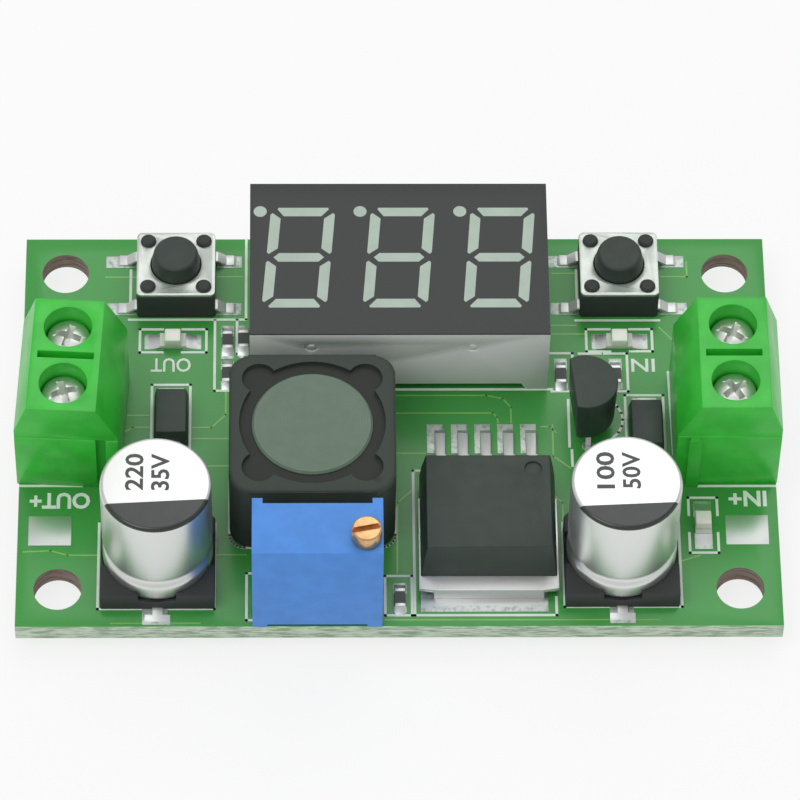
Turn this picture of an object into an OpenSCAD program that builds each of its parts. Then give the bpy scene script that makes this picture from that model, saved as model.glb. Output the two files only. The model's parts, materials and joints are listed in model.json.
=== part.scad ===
// Step-down converter module with a three-digit voltmeter.
// Millimetres. Origin: centre of the four-hole pattern, on the underside of the board. +Z is up,
// -Y is the edge with the capacitors, and the output terminal is at -X.

/* [Board] */
// Board width, along X
board_w = 57; // [56.6:0.1:60]
// Board depth, along Y
board_d = 35.4; // [35.2:0.1:38]
// Board thickness
board_t = 1.6; // [1.2:0.1:2]
// Distance between the mounting holes along X
mount_pitch_x = 50.8; // [50.4:0.1:52]
// Distance between the mounting holes along Y
mount_pitch_y = 28.8; // [28.4:0.1:30]
// Diameter of the mounting holes
mount_hole_d = 3.6; // [3:0.1:3.8]
// How far the soldered pins reach below the board
pin_reach = 1.5; // [1.3:0.1:2]

/* [Display] */
// Display case width
display_w = 22.6; // [22.4:0.1:22.8]
// Display case depth
display_d = 14; // [13.8:0.1:14.4]
// Height of the display face above the board
display_h = 7.4; // [6.6:0.1:8.5]
// Centre of the display along X
display_x = 0.15; // [0:0.05:0.4]
// Centre of the display along Y
display_y = 10.55; // [10.5:0.05:10.7]
// Distance from one digit to the next
digit_pitch = 7.6; // [7.4:0.05:7.7]
// Lean of the digits in degrees
digit_lean = 4.4; // [0:0.1:8]
// Width of a lit bar
bar_w = 0.8; // [0.6:0.05:0.9]

/* [Push switches] */
// Side of the square switch
switch_w = 6; // [5.8:0.1:6.2]
// Height of the button top above the board
button_top = 4.3; // [4:0.1:7]
// Travel of the button
button_travel = 0.25; // [0.15:0.01:0.25]
// Centre of the left switch along X
left_switch_x = -16.85; // [-17:0.05:-16.6]
// Centre of the right switch along X
right_switch_x = 17.1; // [16.9:0.05:17.3]
// Centre of both switches along Y
switch_y = 13.3; // [13.2:0.05:13.5]

/* [Wire terminals] */
// Distance between the two poles of a terminal
pole_pitch = 5.08; // [5:0.01:5.08]
// Height of a terminal housing
terminal_h = 10; // [9.8:0.1:11]
// Place of the output terminal's screws along X
out_terminal_x = -24.78; // [-24.9:0.01:-24.6]
// Place of the input terminal's screws along X
in_terminal_x = 24.96; // [24.8:0.01:25.05]
// How far the output terminal sits turned on its pins, in degrees
out_terminal_turn = -3; // [-4:0.5:2]
// Travel of a clamp from open to closed
clamp_travel = 2; // [1:0.1:2]
// Diameter of a clamp screw's shank
clamp_screw_d = 2.5; // [2:0.1:2.6]

/* [Power inductor] */
// Side of the square shield
inductor_w = 12.4; // [12:0.1:12.5]
// Height of the inductor above the board
inductor_h = 7.6; // [7:0.1:8.5]

/* [Trimmer] */
// Width of the trimmer, along X
trimmer_w = 9.6; // [9.5:0.05:9.8]
// Depth of the trimmer, along Y
trimmer_d = 4.83; // [4.8:0.01:5]
// Height of the trimmer without its screw
trimmer_h = 10.03; // [10:0.01:10.5]
// Teeth on the trimmer's rotor
rotor_teeth = 30; // [24:1:36]

/* [Regulator] */
// Height of the regulator above the board
regulator_h = 4.5; // [4.3:0.1:4.8]
// Distance between the regulator's leads
lead_pitch = 1.72; // [1.7:0.01:1.75]

/* [Capacitors] */
// Diameter of both capacitor cans
can_d = 8.2; // [7.8:0.1:8.2]
// Height of both capacitors above the board
can_h = 10.5; // [9.8:0.1:12]

/* [Hidden] */
$fn = 48;

// Places on the board, from the centre of the hole pattern
display_at = [display_x, display_y];
left_switch_at = [left_switch_x, switch_y];
right_switch_at = [right_switch_x, switch_y];
out_terminal_at = [out_terminal_x, -0.12];
in_terminal_at = [in_terminal_x, 0.05];
inductor_at = [-6.45, -4.56];
trimmer_at = [-6.1, -15.33];
regulator_at = [6.65, -9.6];
out_capacitor_at = [-17.95, -11.93];
in_capacitor_at = [16.55, -11.83];
small_regulator_at = [14.4, 0.42];
diodes_at = [[-17.1, 0.2], [18.8, -0.85]];
resistors_at = [[-12.9, 7.95], [-12.9, 4.87], [-11.7, 8.05], [12.52, 4.73], [16.7, 4.73], [0.04, -15.4]];
flat_leds_at = [[-17.08, 7.95], [17.07, 7.9]];
upright_led_at = [22.83, -8.75];
wire_pads_at = [[-26.08, -9.25], [26.12, -9.25], [-26.08, 9.25], [26.12, 9.25]];

// Height of the board's top face, and of the pin tips
top = board_t;
pin_tip = -pin_reach;

// Display
display_wall = 0.8;
case_notch_w = 18.6;
case_notch_h = 0.8;
display_board_z = 1.6;
display_board_t = 1;
face_t = 0.15;
well_floor = display_board_z + display_board_t;
digit_shift = 0.08;
digit_half_w = 2.45;
digit_half_h = 4.65;
bar_corner = 0.5;
bar_end = 0.32;
bar_slope = 0.52;
bar_tip = 0.15;
dot_d = 1;
dot_at = [-2.93, 4.3];
display_pin_d = 0.5;
display_pin_pitch = 2.54;
display_row = 5.08;
die_w = 0.3;
die_spots = [[0, 4.2], [0, 0], [0, -4.2], [-1.9, 2.2], [2.2, 2.2], [-2.2, -2.2], [1.9, -2.2]];

// Switches
cover_t = 0.25;
cover_z = 2.6;
pocket_d = 4.7;
pocket_floor = 1;
peg_d = 1.16;
peg_spot = 2.13;
strip_y = 2.25;
strip_w = 0.9;
strip_t = 0.2;
strip_z = 0.5;
strip_half = 4.4;
strip_bend = 3.1;
strip_run = 0.65;
stud_top = 1.05;
dome_d = 4.3;
dome_t = 0.08;
dome_crown = stud_top + button_travel;

// Terminals, seen from the input side: wires enter at +X, the screws stand on the Z axis
terminal_len = 10.16;
outer_x = 3.6;
inner_x = -4.17;
top_outer_x = 2.6;
top_inner_x = -2.58;
outer_shoulder = 7;
inner_shoulder = 6.5;
screw_well_d = 3.6;
screw_head_d = 3.2;
screw_head_z = 7.35;
screw_rim_h = 1.15;
screw_dome = 0.45;
recess_w = 2.3;
recess_tip_w = 0.7;
recess_t = 0.5;
recess_depth = 1.05;
screw_tip_z = 3.85;
shank_clearance = 0.06;
clamp_w = 4;
clamp_len = 3.4;
clamp_z = 0.55;
clamp_top_t = 0.9;
clamp_floor_t = 0.6;
clamp_wall = 0.6;
clamp_h = 4.15;
chamber_w = 4.3;
chamber_top = 6.9;
tongue_z = 3.2;
tongue_t = 0.5;
tongue_w = 2.4;
contact_x = -2.7;
contact_t = 0.7;
terminal_pin_w = 1;
entry_w = 3.2;
entry_low = 1.15;
entry_high = 3.65;
entry_flare = 0.5;
chamber_in = -1.95;
chamber_out = 2.6;
foot_h = 0.3;
rib_x = -2.85;
rib_out = 0.3;
key_h = 6.1;
end_setback = 0.07;

// Inductor
inductor_corner = 1.7;
inductor_base_h = 0.9;
shield_bore = 10.9;
flange_d = 9;
flange_t = 1.4;
hub_d = 4.6;
pocket_spot = 3.95;
inductor_pocket_d = 2.6;
glue_top = 0.35;
glue_depth = 0.95;
shield_edge_r = 0.25;
clip_w = 4.6;
clip_t = 0.3;

// Trimmer
trimmer_rib = 0.78;
trimmer_notch = 0.45;
trimmer_foot = [1.1, 0.35];
worm_x = 3.58;
worm_y = -1.07;
worm_d = 1.2;
screw_d = 2.2;
screw_up = 1.35;
screw_neck_d = 1.5;
neck_clearance = 0.06;
rotor_z = 5.1;
rotor_t = 1.3;
rotor_d = 2 * (worm_x - worm_d / 2 - 0.06);
tooth_h = 0.28;
element_t = 0.8;
element_w = 7.7;
trimmer_pin_d = 0.5;
trimmer_pin_y = 1.56;

// Regulator
tab_t = 1.27;
tab_front = -15.35;
tab_half = 4.1;
wing_half = 5.2;
wing_t = 0.4;
body_front = -14.15;
body_back = -5;
body_half = 5.08;
body_top_half = 4.65;
parting_z = 2.3;
lead_w = 0.8;
lead_toe = -0.7;

// Small parts
resistor_size = [0.8, 1.6, 0.45];
cap_len = 0.3;
led_size = [2, 1.25, 0.4];
lens_len = 1.3;
lens_top = 1.05;
small_turn = 6;
chip_size = [6.5, 4.4, 0.95];

// ---- Helpers -------------------------------------------------------------------------------

// A point turned about the origin
function turned(p, a) = [p.x * cos(a) - p.y * sin(a), p.x * sin(a) + p.y * cos(a)];

// Points mirrored left to right, and front to back
function flip_x(points) = [for (p = points) [-p.x, p.y]];
function flip_y(points) = [for (p = points) [p.x, -p.y]];

// Places a part at a spot on the board's top face
module on_board(spot, turn = 0) {
    translate([spot.x, spot.y, top]) rotate([0, 0, turn]) children();
}

// Rectangle with round corners
module round_rect(w, d, r) {
    square([w - 2 * r, d], center = true);
    square([w, d - 2 * r], center = true);
    for (x = [-1, 1], y = [-1, 1]) {
        translate([x * (w / 2 - r), y * (d / 2 - r)]) circle(r = r);
    }
}

// Upright rectangle from the origin to a height, with its two top corners round
module round_top(w, h, r) {
    translate([-w / 2, 0]) square([w, h - r]);
    translate([r - w / 2, 0]) square([w - 2 * r, h]);
    for (s = [-1, 1]) translate([s * (w / 2 - r), h - r]) circle(r = r);
}

// Block centred on X and Y, standing on z
module block(w, d, z, h) {
    translate([-w / 2, -d / 2, z]) cube([w, d, h]);
}

// Side profile in Y and Z, drawn out along X about the middle
module along_x(w) {
    rotate([90, 0, 90]) linear_extrude(w, center = true) children();
}

// Side profile in X and Z, drawn out along Y about the middle
module along_y(w) {
    rotate([90, 0, 0]) linear_extrude(w, center = true) children();
}

// Block whose four sides lean in towards its top
module drafted(w0, d0, w1, d1, z0, z1) {
    intersection() {
        along_y(d0 + 1) polygon([[-w0 / 2, z0], [w0 / 2, z0], [w1 / 2, z1], [-w1 / 2, z1]]);
        along_x(w0 + 1) polygon([[-d0 / 2, z0], [d0 / 2, z0], [d1 / 2, z1], [-d1 / 2, z1]]);
    }
}

// Solder wedge at the toe of a lead that points along +Y
module toe_fillet(w, len = 0.4, h = 0.3) {
    along_x(w) polygon([[0, 0], [len, 0], [len * 0.35, h * 0.35], [0, h]]);
}

// ---- Places of the pins --------------------------------------------------------------------

out_turn = 180 + out_terminal_turn;
pole_y = pole_pitch / 2;
terminal_pins = concat(
    [for (y = [-pole_y, pole_y]) out_terminal_at + turned([contact_x, y], out_turn)],
    [for (y = [-pole_y, pole_y]) in_terminal_at + [contact_x, y]]);
display_pins_at = [for (i = [0:5], s = [-1, 1])
    display_at + [(i - 2.5) * display_pin_pitch, s * display_row]];
trimmer_pins_at = [for (i = [-1:1]) trimmer_at + [i * 2.54, trimmer_pin_y]];
small_pin_y = 2.05;
small_pins_at = [for (i = [-1:1]) small_regulator_at + [0, i * small_pin_y]];
terminal_hole_d = 1.6;
fine_hole_d = 0.9;
wire_hole_d = 1.5;

// ---- Board ---------------------------------------------------------------------------------

module circuit_board() {
    color("forestgreen") linear_extrude(board_t) difference() {
        square([board_w, board_d], center = true);
        for (x = [-0.5, 0.5], y = [-0.5, 0.5]) {
            translate([x * mount_pitch_x, y * mount_pitch_y]) circle(d = mount_hole_d);
        }
        for (p = terminal_pins) translate(p) circle(d = terminal_hole_d);
        for (p = concat(display_pins_at, trimmer_pins_at, small_pins_at)) {
            translate(p) circle(d = fine_hole_d);
        }
        for (p = wire_pads_at) translate(p) circle(d = wire_hole_d);
    }
}

// ---- Display -------------------------------------------------------------------------------

// The outlines of one digit's seven bars, upright
flat_half = digit_half_w - bar_corner;
flat_bar = [[bar_tip / 2 - flat_half, digit_half_h], [flat_half - bar_tip / 2, digit_half_h],
    [flat_half, digit_half_h - bar_tip], [flat_half - bar_slope, digit_half_h - bar_w],
    [bar_slope - flat_half, digit_half_h - bar_w], [-flat_half, digit_half_h - bar_tip]];
side_top = digit_half_h - bar_corner;
side_bar = [[-digit_half_w, side_top - bar_tip], [bar_tip - digit_half_w, side_top],
    [bar_w - digit_half_w, side_top - bar_slope], [bar_w - digit_half_w, bar_end + bar_slope],
    [bar_tip - digit_half_w, bar_end], [-digit_half_w, bar_end + bar_tip]];
middle_half = digit_half_w - 0.53;
middle_bar = [[-middle_half, 0], [bar_w / 2 - middle_half, bar_w / 2],
    [middle_half - bar_w / 2, bar_w / 2], [middle_half, 0],
    [middle_half - bar_w / 2, -bar_w / 2], [bar_w / 2 - middle_half, -bar_w / 2]];
digit_bars = [flat_bar, flip_y(flat_bar), middle_bar, side_bar, flip_x(side_bar),
    flip_y(side_bar), flip_x(flip_y(side_bar))];

// The windows of all three digits
module digit_windows() {
    for (i = [-1:1]) translate([i * digit_pitch, digit_shift]) {
        for (bar = digit_bars) polygon([for (p = bar) [p.x + p.y * tan(digit_lean), p.y]]);
        translate(dot_at) circle(d = dot_d, $fn = 32);
    }
}

module display_case() {
    color("gainsboro") on_board(display_at) difference() {
        block(display_w, display_d, 0, display_h - face_t);
        block(display_w - 2 * display_wall, display_d - 2 * display_wall, -1, 1 + well_floor);
        translate([0, 0, well_floor - 0.5]) linear_extrude(display_h) digit_windows();
        along_y(display_d + 1) polygon([[-case_notch_w / 2 - case_notch_h / 2, -1],
            [-case_notch_w / 2 - case_notch_h / 2, 0], [-case_notch_w / 2, case_notch_h],
            [case_notch_w / 2, case_notch_h], [case_notch_w / 2 + case_notch_h / 2, 0],
            [case_notch_w / 2 + case_notch_h / 2, -1]]);
        for (x = [-6.65, 5.5]) translate([x, 0.1 - display_d / 2, 5.6]) rotate([90, 0, 0]) {
            difference() {
                cylinder(d = 1.1, h = 1);
                cylinder(d = 0.5, h = 1);
            }
        }
    }
}

module display_face() {
    color([0.15, 0.17, 0.16]) on_board(display_at) translate([0, 0, display_h - face_t]) {
        linear_extrude(face_t) difference() {
            square([display_w, display_d], center = true);
            digit_windows();
        }
    }
}

module display_segments() {
    fill_z = well_floor + 0.7;
    color([0.72, 0.78, 0.74]) on_board(display_at) translate([0, 0, fill_z]) {
        linear_extrude(display_h - fill_z) digit_windows();
    }
}

module display_board() {
    color("darkgreen") on_board(display_at) {
        difference() {
            block(display_w - 2 * display_wall, display_d - 2 * display_wall,
                display_board_z, display_board_t);
            for (p = display_pins_at) translate([p.x - display_x, p.y - display_y, 0]) {
                cylinder(d = display_pin_d, h = display_h);
            }
        }
        for (i = [-1:1], p = die_spots) {
            translate([i * digit_pitch + p.x, p.y + digit_shift, 0]) block(die_w, die_w, well_floor, die_w);
        }
        for (i = [-1:1]) translate([i * digit_pitch + dot_at.x, dot_at.y + digit_shift, 0]) {
            block(die_w, die_w, well_floor, die_w);
        }
    }
}

module display_pins() {
    color("silver") for (p = display_pins_at) translate([p.x, p.y, pin_tip]) {
        cylinder(d = display_pin_d, h = top + well_floor - pin_tip);
    }
}

// ---- Push switches -------------------------------------------------------------------------

// One contact strip: a gull-wing lead at each end
module contact_strip() {
    foot = strip_bend + strip_run;
    half = [[0, strip_z], [strip_bend, strip_z], [foot, 0], [strip_half, 0],
        [strip_half, strip_t], [foot + 0.08, strip_t], [strip_bend + 0.08, strip_z + strip_t],
        [0, strip_z + strip_t]];
    along_y(strip_w) union() {
        polygon(half);
        polygon(flip_x(half));
    }
}

// Both strips: one reaches a stud under the dome's middle, the other a stud under its rim
module switch_contacts() {
    rim_y = -dome_d / 2 + 0.2;
    for (y = [-strip_y, strip_y]) translate([0, y, 0]) contact_strip();
    translate([-strip_w / 2, 0, strip_z]) cube([strip_w, strip_y, strip_t]);
    translate([0, 0, strip_z]) cylinder(d = strip_w, h = stud_top - strip_z);
    translate([0, rim_y, strip_z]) cylinder(d = 0.5, h = pocket_floor - strip_z);
}

module switch_base() {
    color([0.16, 0.17, 0.17]) difference() {
        union() {
            linear_extrude(cover_z) round_rect(switch_w, switch_w, 0.25);
            for (x = [-1, 1], y = [-1, 1]) translate([x * peg_spot, y * peg_spot, cover_z]) {
                cylinder(d = peg_d, h = cover_t + 0.1);
                translate([0, 0, cover_t + 0.1]) cylinder(d1 = peg_d, d2 = peg_d - 0.3, h = 0.15);
            }
        }
        translate([0, 0, pocket_floor]) cylinder(d = pocket_d, h = cover_z);
        switch_contacts();
    }
}

// Snap dome: a thin spherical cap standing on its rim
module switch_dome() {
    rise = dome_crown - pocket_floor;
    radius = (pow(dome_d / 2, 2) + rise * rise) / (2 * rise);
    color("lightgray") translate([0, 0, pocket_floor]) intersection() {
        translate([0, 0, rise - radius]) difference() {
            sphere(r = radius + dome_t, $fn = 96);
            sphere(r = radius, $fn = 96);
        }
        cylinder(d = dome_d + 0.2, h = 2);
    }
}

module switch_button() {
    flange_z = dome_crown + dome_t + 0.35;
    color([0.2, 0.21, 0.21]) rotate_extrude() polygon([[0, dome_crown + dome_t + 0.01],
        [0.7, dome_crown + dome_t + 0.01], [0.9, flange_z], [2.22, flange_z], [2.22, cover_z - 0.05],
        [1.86, cover_z - 0.05], [1.86, cover_z + cover_t + button_travel + 0.1],
        [1.72, button_top - 0.3], [1.66, button_top - 0.12], [1.5, button_top], [0, button_top]]);
}

module switch_cover() {
    color("silver") translate([0, 0, cover_z]) linear_extrude(cover_t) difference() {
        round_rect(switch_w, switch_w - 0.1, 0.4);
        circle(d = 3.92);
        for (x = [-1, 1], y = [-1, 1]) translate([x * peg_spot, y * peg_spot]) circle(d = peg_d);
    }
}

module left_switch_base() { on_board(left_switch_at) switch_base(); }
module left_switch_contacts() { color("silver") on_board(left_switch_at) switch_contacts(); }
module left_switch_dome() { on_board(left_switch_at) switch_dome(); }
module left_switch_button() { on_board(left_switch_at) switch_button(); }
module left_switch_cover() { on_board(left_switch_at) switch_cover(); }
module right_switch_base() { on_board(right_switch_at) switch_base(); }
module right_switch_contacts() { color("silver") on_board(right_switch_at) switch_contacts(); }
module right_switch_dome() { on_board(right_switch_at) switch_dome(); }
module right_switch_button() { on_board(right_switch_at) switch_button(); }
module right_switch_cover() { on_board(right_switch_at) switch_cover(); }

// ---- Wire terminals ------------------------------------------------------------------------

// Wire entry: a straight mouth that flares out to the housing's face
module wire_entry() {
    half_w = entry_w / 2;
    intersection() {
        translate([0, 0, -1]) linear_extrude(terminal_h) polygon([[chamber_out - 0.2, -half_w],
            [outer_x - entry_flare, -half_w], [outer_x + 0.1, -half_w - entry_flare],
            [outer_x + 0.1, half_w + entry_flare], [outer_x - entry_flare, half_w],
            [chamber_out - 0.2, half_w]]);
        along_y(terminal_len) polygon([[chamber_out - 0.2, entry_low],
            [outer_x - entry_flare, entry_low], [outer_x + 0.1, entry_low - entry_flare],
            [outer_x + 0.1, entry_high + entry_flare], [outer_x - entry_flare, entry_high],
            [chamber_out - 0.2, entry_high]]);
    }
}

// Room for one pole: clamp chamber, contact slot, screw bores and wire entry
module pole_room() {
    translate([chamber_in, -chamber_w / 2, -1]) {
        cube([chamber_out - chamber_in, chamber_w, chamber_top + 1]);
    }
    translate([contact_x - contact_t / 2, -tongue_w / 2, -1]) {
        cube([-contact_x, tongue_w, tongue_z + tongue_t + 1]);
    }
    translate([0, 0, chamber_top - 0.5]) cylinder(d = clamp_screw_d + 0.3, h = 2);
    translate([0, 0, screw_head_z - 0.05]) cylinder(d = screw_well_d, h = terminal_h);
    wire_entry();
}

// Dovetail outline, standing out of a face at y = 0
module dovetail(grow) {
    polygon([[-0.28 - grow, grow], [-0.5 - grow, -rib_out - grow],
        [0.5 + grow, -rib_out - grow], [0.28 + grow, grow]]);
}

module terminal_housing() {
    end_y = terminal_len / 2;
    color([0.13, 0.72, 0.22]) difference() {
        union() {
            along_y(terminal_len) polygon([[inner_x, 0], [outer_x, 0], [outer_x, outer_shoulder],
                [top_outer_x, terminal_h], [top_inner_x, terminal_h], [inner_x, inner_shoulder]]);
            translate([rib_x, -end_y, 0]) linear_extrude(key_h) dovetail(0);
        }
        translate([rib_x, end_y, -1]) linear_extrude(key_h + 1.1) dovetail(0.05);
        for (s = [-1, 1]) translate([inner_x - 1, s * end_y - end_setback, key_h + 0.1]) {
            cube([outer_x - inner_x + 2, 2 * end_setback, terminal_h]);
        }
        for (y = [-pole_y, pole_y]) translate([0, y, 0]) pole_room();
        translate([-2.1, -0.3, terminal_h - 1.5]) cube([4.2, 0.6, 2]);
        translate([inner_x + 0.8, -end_y + 1.2, -1]) {
            cube([outer_x - inner_x + 1, terminal_len - 2.4, 1 + foot_h]);
        }
    }
}

// Two contacts: each has a tongue through its clamp and a pin down through the board
module terminal_contacts() {
    inner = contact_x - contact_t / 2;
    color("silver") for (y = [-pole_y, pole_y]) translate([0, y, 0]) {
        along_y(tongue_w) polygon([[inner, 0], [inner + contact_t, 0], [inner + contact_t, tongue_z],
            [clamp_len / 2 - 0.1, tongue_z], [clamp_len / 2 - 0.1, tongue_z + tongue_t],
            [inner, tongue_z + tongue_t]]);
        translate([inner, -terminal_pin_w / 2, pin_tip - top]) {
            cube([contact_t, terminal_pin_w, top - pin_tip]);
        }
    }
}

// Screw with a domed head; the two wings of its cross recess narrow towards the bottom
module clamp_screw(turn) {
    head_top = screw_head_z + screw_rim_h + screw_dome;
    ball_r = (pow(screw_head_d / 2, 2) + screw_dome * screw_dome) / (2 * screw_dome);
    color("silver") rotate([0, 0, turn]) difference() {
        union() {
            rotate_extrude() polygon([[0, screw_tip_z], [clamp_screw_d / 2 - 0.2, screw_tip_z],
                [clamp_screw_d / 2, screw_tip_z + 0.2], [clamp_screw_d / 2, screw_head_z],
                [screw_head_d / 2, screw_head_z], [screw_head_d / 2, screw_head_z + screw_rim_h],
                [0, screw_head_z + screw_rim_h]]);
            translate([0, 0, head_top - ball_r]) intersection() {
                sphere(r = ball_r);
                cylinder(d = screw_head_d + 1, h = ball_r + 1);
                translate([0, 0, ball_r - screw_dome]) cylinder(d = screw_head_d + 1, h = ball_r);
            }
        }
        for (a = [0, 90]) rotate([0, 0, a]) along_y(recess_t) polygon([
            [-recess_w / 2, head_top + 0.1], [recess_w / 2, head_top + 0.1],
            [recess_tip_w / 2, head_top - recess_depth], [-recess_tip_w / 2, head_top - recess_depth]]);
    }
}

// Clamp: a box open along X that the screw draws up under the contact's tongue
module clamp() {
    color([0.75, 0.74, 0.7]) difference() {
        block(clamp_len, clamp_w, clamp_z, clamp_h);
        block(clamp_len + 1, clamp_w - 2 * clamp_wall, clamp_z + clamp_floor_t,
            clamp_h - clamp_floor_t - clamp_top_t);
        translate([0, 0, clamp_z + 1]) cylinder(d = clamp_screw_d + 2 * shank_clearance, h = clamp_h);
    }
}

// Places a part at one pole of a terminal
module at_out_pole(side) { on_board(out_terminal_at, out_turn) translate([0, side * pole_y, 0]) children(); }
module at_in_pole(side) { on_board(in_terminal_at) translate([0, side * pole_y, 0]) children(); }

module out_terminal_housing() { on_board(out_terminal_at, out_turn) terminal_housing(); }
module out_terminal_contacts() { on_board(out_terminal_at, out_turn) terminal_contacts(); }
module out_plus_screw() { at_out_pole(1) clamp_screw(20); }
module out_minus_screw() { at_out_pole(-1) clamp_screw(75); }
module out_plus_clamp() { at_out_pole(1) clamp(); }
module out_minus_clamp() { at_out_pole(-1) clamp(); }
module in_terminal_housing() { on_board(in_terminal_at) terminal_housing(); }
module in_terminal_contacts() { on_board(in_terminal_at) terminal_contacts(); }
module in_plus_screw() { at_in_pole(-1) clamp_screw(35); }
module in_minus_screw() { at_in_pole(1) clamp_screw(60); }
module in_plus_clamp() { at_in_pole(-1) clamp(); }
module in_minus_clamp() { at_in_pole(1) clamp(); }

// ---- Power inductor ------------------------------------------------------------------------

// Terminal clips: a foot under the base and a riser up its side, front and back
module clips() {
    side = inductor_w / 2;
    profile = [[side - 3, 0], [side + clip_t, 0], [side + clip_t, 1.6], [side, 1.6],
        [side, clip_t], [side - 3, clip_t]];
    along_x(clip_w) union() {
        polygon(profile);
        polygon(flip_x(profile));
    }
}

module inductor_outline() { round_rect(inductor_w, inductor_w, inductor_corner); }

// The glue pockets at the four corners of the shield's bore
module corner_pockets() {
    for (x = [-1, 1], y = [-1, 1]) {
        translate([x * pocket_spot, y * pocket_spot]) circle(d = inductor_pocket_d);
    }
}

module inductor_base() {
    color([0.12, 0.13, 0.12]) on_board(inductor_at) difference() {
        linear_extrude(inductor_base_h) inductor_outline();
        clips();
    }
}

module inductor_shield() {
    color([0.24, 0.27, 0.25]) on_board(inductor_at) difference() {
        intersection() {
            translate([0, 0, inductor_base_h]) linear_extrude(inductor_h) inductor_outline();
            along_x(inductor_w + 1) round_top(inductor_w, inductor_h, shield_edge_r);
            along_y(inductor_w + 1) round_top(inductor_w, inductor_h, shield_edge_r);
        }
        cylinder(d = shield_bore, h = inductor_h + 1);
        translate([0, 0, inductor_h - glue_depth]) linear_extrude(glue_depth + 1) corner_pockets();
    }
}

// Drum core: a hub between two flanges
module inductor_core() {
    core_top = inductor_h - 0.1;
    color([0.42, 0.47, 0.43]) on_board(inductor_at) rotate_extrude() polygon([[0, inductor_base_h],
        [flange_d / 2, inductor_base_h], [flange_d / 2, inductor_base_h + flange_t],
        [hub_d / 2, inductor_base_h + flange_t], [hub_d / 2, core_top - flange_t],
        [flange_d / 2, core_top - flange_t], [flange_d / 2, core_top - 0.15],
        [flange_d / 2 - 0.15, core_top], [0, core_top]]);
}

module inductor_winding() {
    low = inductor_base_h + flange_t;
    high = inductor_h - 0.1 - flange_t;
    color("peru") on_board(inductor_at) translate([0, 0, low]) difference() {
        cylinder(d = flange_d - 0.3, h = high - low);
        translate([0, 0, -1]) cylinder(d = hub_d, h = high - low + 2);
    }
}

module inductor_glue() {
    color([0.1, 0.11, 0.1]) on_board(inductor_at) translate([0, 0, inductor_h - glue_depth]) {
        linear_extrude(glue_depth - glue_top) difference() {
            union() {
                circle(d = shield_bore);
                corner_pockets();
            }
            circle(d = flange_d);
        }
    }
}

module inductor_clips() { color("silver") on_board(inductor_at) clips(); }

// ---- Trimmer -------------------------------------------------------------------------------

element_back = trimmer_d / 2 - trimmer_notch;

// A cylinder along Y from y0 to y1, at (x, z)
module y_cylinder(d, x, z, y0, y1) {
    translate([x, y1, z]) rotate([90, 0, 0]) cylinder(d = d, h = y1 - y0);
}

// The rotor's place: a stub axle, a toothed wheel, and a boss that carries the wiper
module rotor() {
    tip = rotor_d / 2;
    step = 360 / rotor_teeth;
    flank = [[-0.32, tip - tooth_h], [-0.14, tip], [0.14, tip], [0.32, tip - tooth_h]];
    teeth = [for (i = [0:rotor_teeth - 1], p = flank)
        [p.y * cos(step * (i + p.x)), p.y * sin(step * (i + p.x))]];
    front = worm_y - rotor_t / 2;
    wiper_face = element_back - element_t;
    translate([0, front + rotor_t, rotor_z]) rotate([90, 0, 0]) linear_extrude(rotor_t) polygon(teeth);
    y_cylinder(1.2, 0, rotor_z, front - 0.25, front + 0.1);
    y_cylinder(2.4, 0, rotor_z, front + rotor_t - 0.1, wiper_face - 0.2);
    translate([-0.35, wiper_face - 0.35, rotor_z]) cube([0.7, 0.15, 2.5]);
    y_cylinder(0.5, 0, rotor_z + 2.2, wiper_face - 0.25, wiper_face - 0.03);
}

module trimmer_housing() {
    inner_w = trimmer_w - 2 * trimmer_rib;
    front = worm_y - rotor_t / 2;
    color([0.24, 0.53, 0.9]) on_board(trimmer_at) difference() {
        block(trimmer_w, trimmer_d, 0, trimmer_h);
        translate([-inner_w / 2, element_back, -1]) cube([inner_w, 1, trimmer_h + 2]);
        translate([-element_w / 2, element_back - element_t, trimmer_foot.y]) {
            cube([element_w, element_t + 1, trimmer_h - 1]);
        }
        y_cylinder(rotor_d + 0.3, 0, rotor_z, front - 0.1, element_back);
        y_cylinder(1.3, 0, rotor_z, front - 0.3, 0);
        translate([worm_x, worm_y, 0.8]) cylinder(d = worm_d + 0.6, h = 7.8);
        translate([worm_x, worm_y, 0.6]) cylinder(d = worm_d + 0.1, h = 1);
        translate([worm_x, worm_y, 1]) cylinder(d = screw_neck_d + 2 * neck_clearance, h = trimmer_h);
        block(trimmer_w - 2 * trimmer_foot.x, trimmer_d + 1, -1, 1 + trimmer_foot.y);
    }
}

module trimmer_screw() {
    color([0.85, 0.65, 0.42]) on_board(trimmer_at) translate([worm_x, worm_y, 0]) difference() {
        rotate_extrude() polygon([[0, 0.7], [worm_d / 2, 0.7], [worm_d / 2, 8.1],
            [worm_d / 2 + 0.25, 8.1], [worm_d / 2 + 0.25, 8.5], [screw_neck_d / 2, 8.5],
            [screw_neck_d / 2, trimmer_h + 0.03], [screw_d / 2, trimmer_h + 0.03],
            [screw_d / 2, trimmer_h + screw_up - 0.12], [screw_d / 2 - 0.12, trimmer_h + screw_up],
            [0, trimmer_h + screw_up]]);
        rotate([0, 0, 12]) block(screw_d + 1, 0.45, trimmer_h + screw_up - 0.6, 1);
    }
}

module trimmer_rotor() { color([0.88, 0.86, 0.8]) on_board(trimmer_at) rotor(); }

module trimmer_element() {
    color([0.93, 0.92, 0.88]) on_board(trimmer_at) difference() {
        translate([-element_w / 2, element_back - element_t, trimmer_foot.y]) {
            cube([element_w, element_t, trimmer_h - 1]);
        }
        trimmer_pin_shafts();
    }
}

module trimmer_pin_shafts() {
    for (i = [-1:1]) translate([i * 2.54, trimmer_pin_y, pin_tip - top]) {
        cylinder(d = trimmer_pin_d, h = top - pin_tip + 1.5);
    }
}

module trimmer_pins() { color("silver") on_board(trimmer_at) trimmer_pin_shafts(); }

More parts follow.
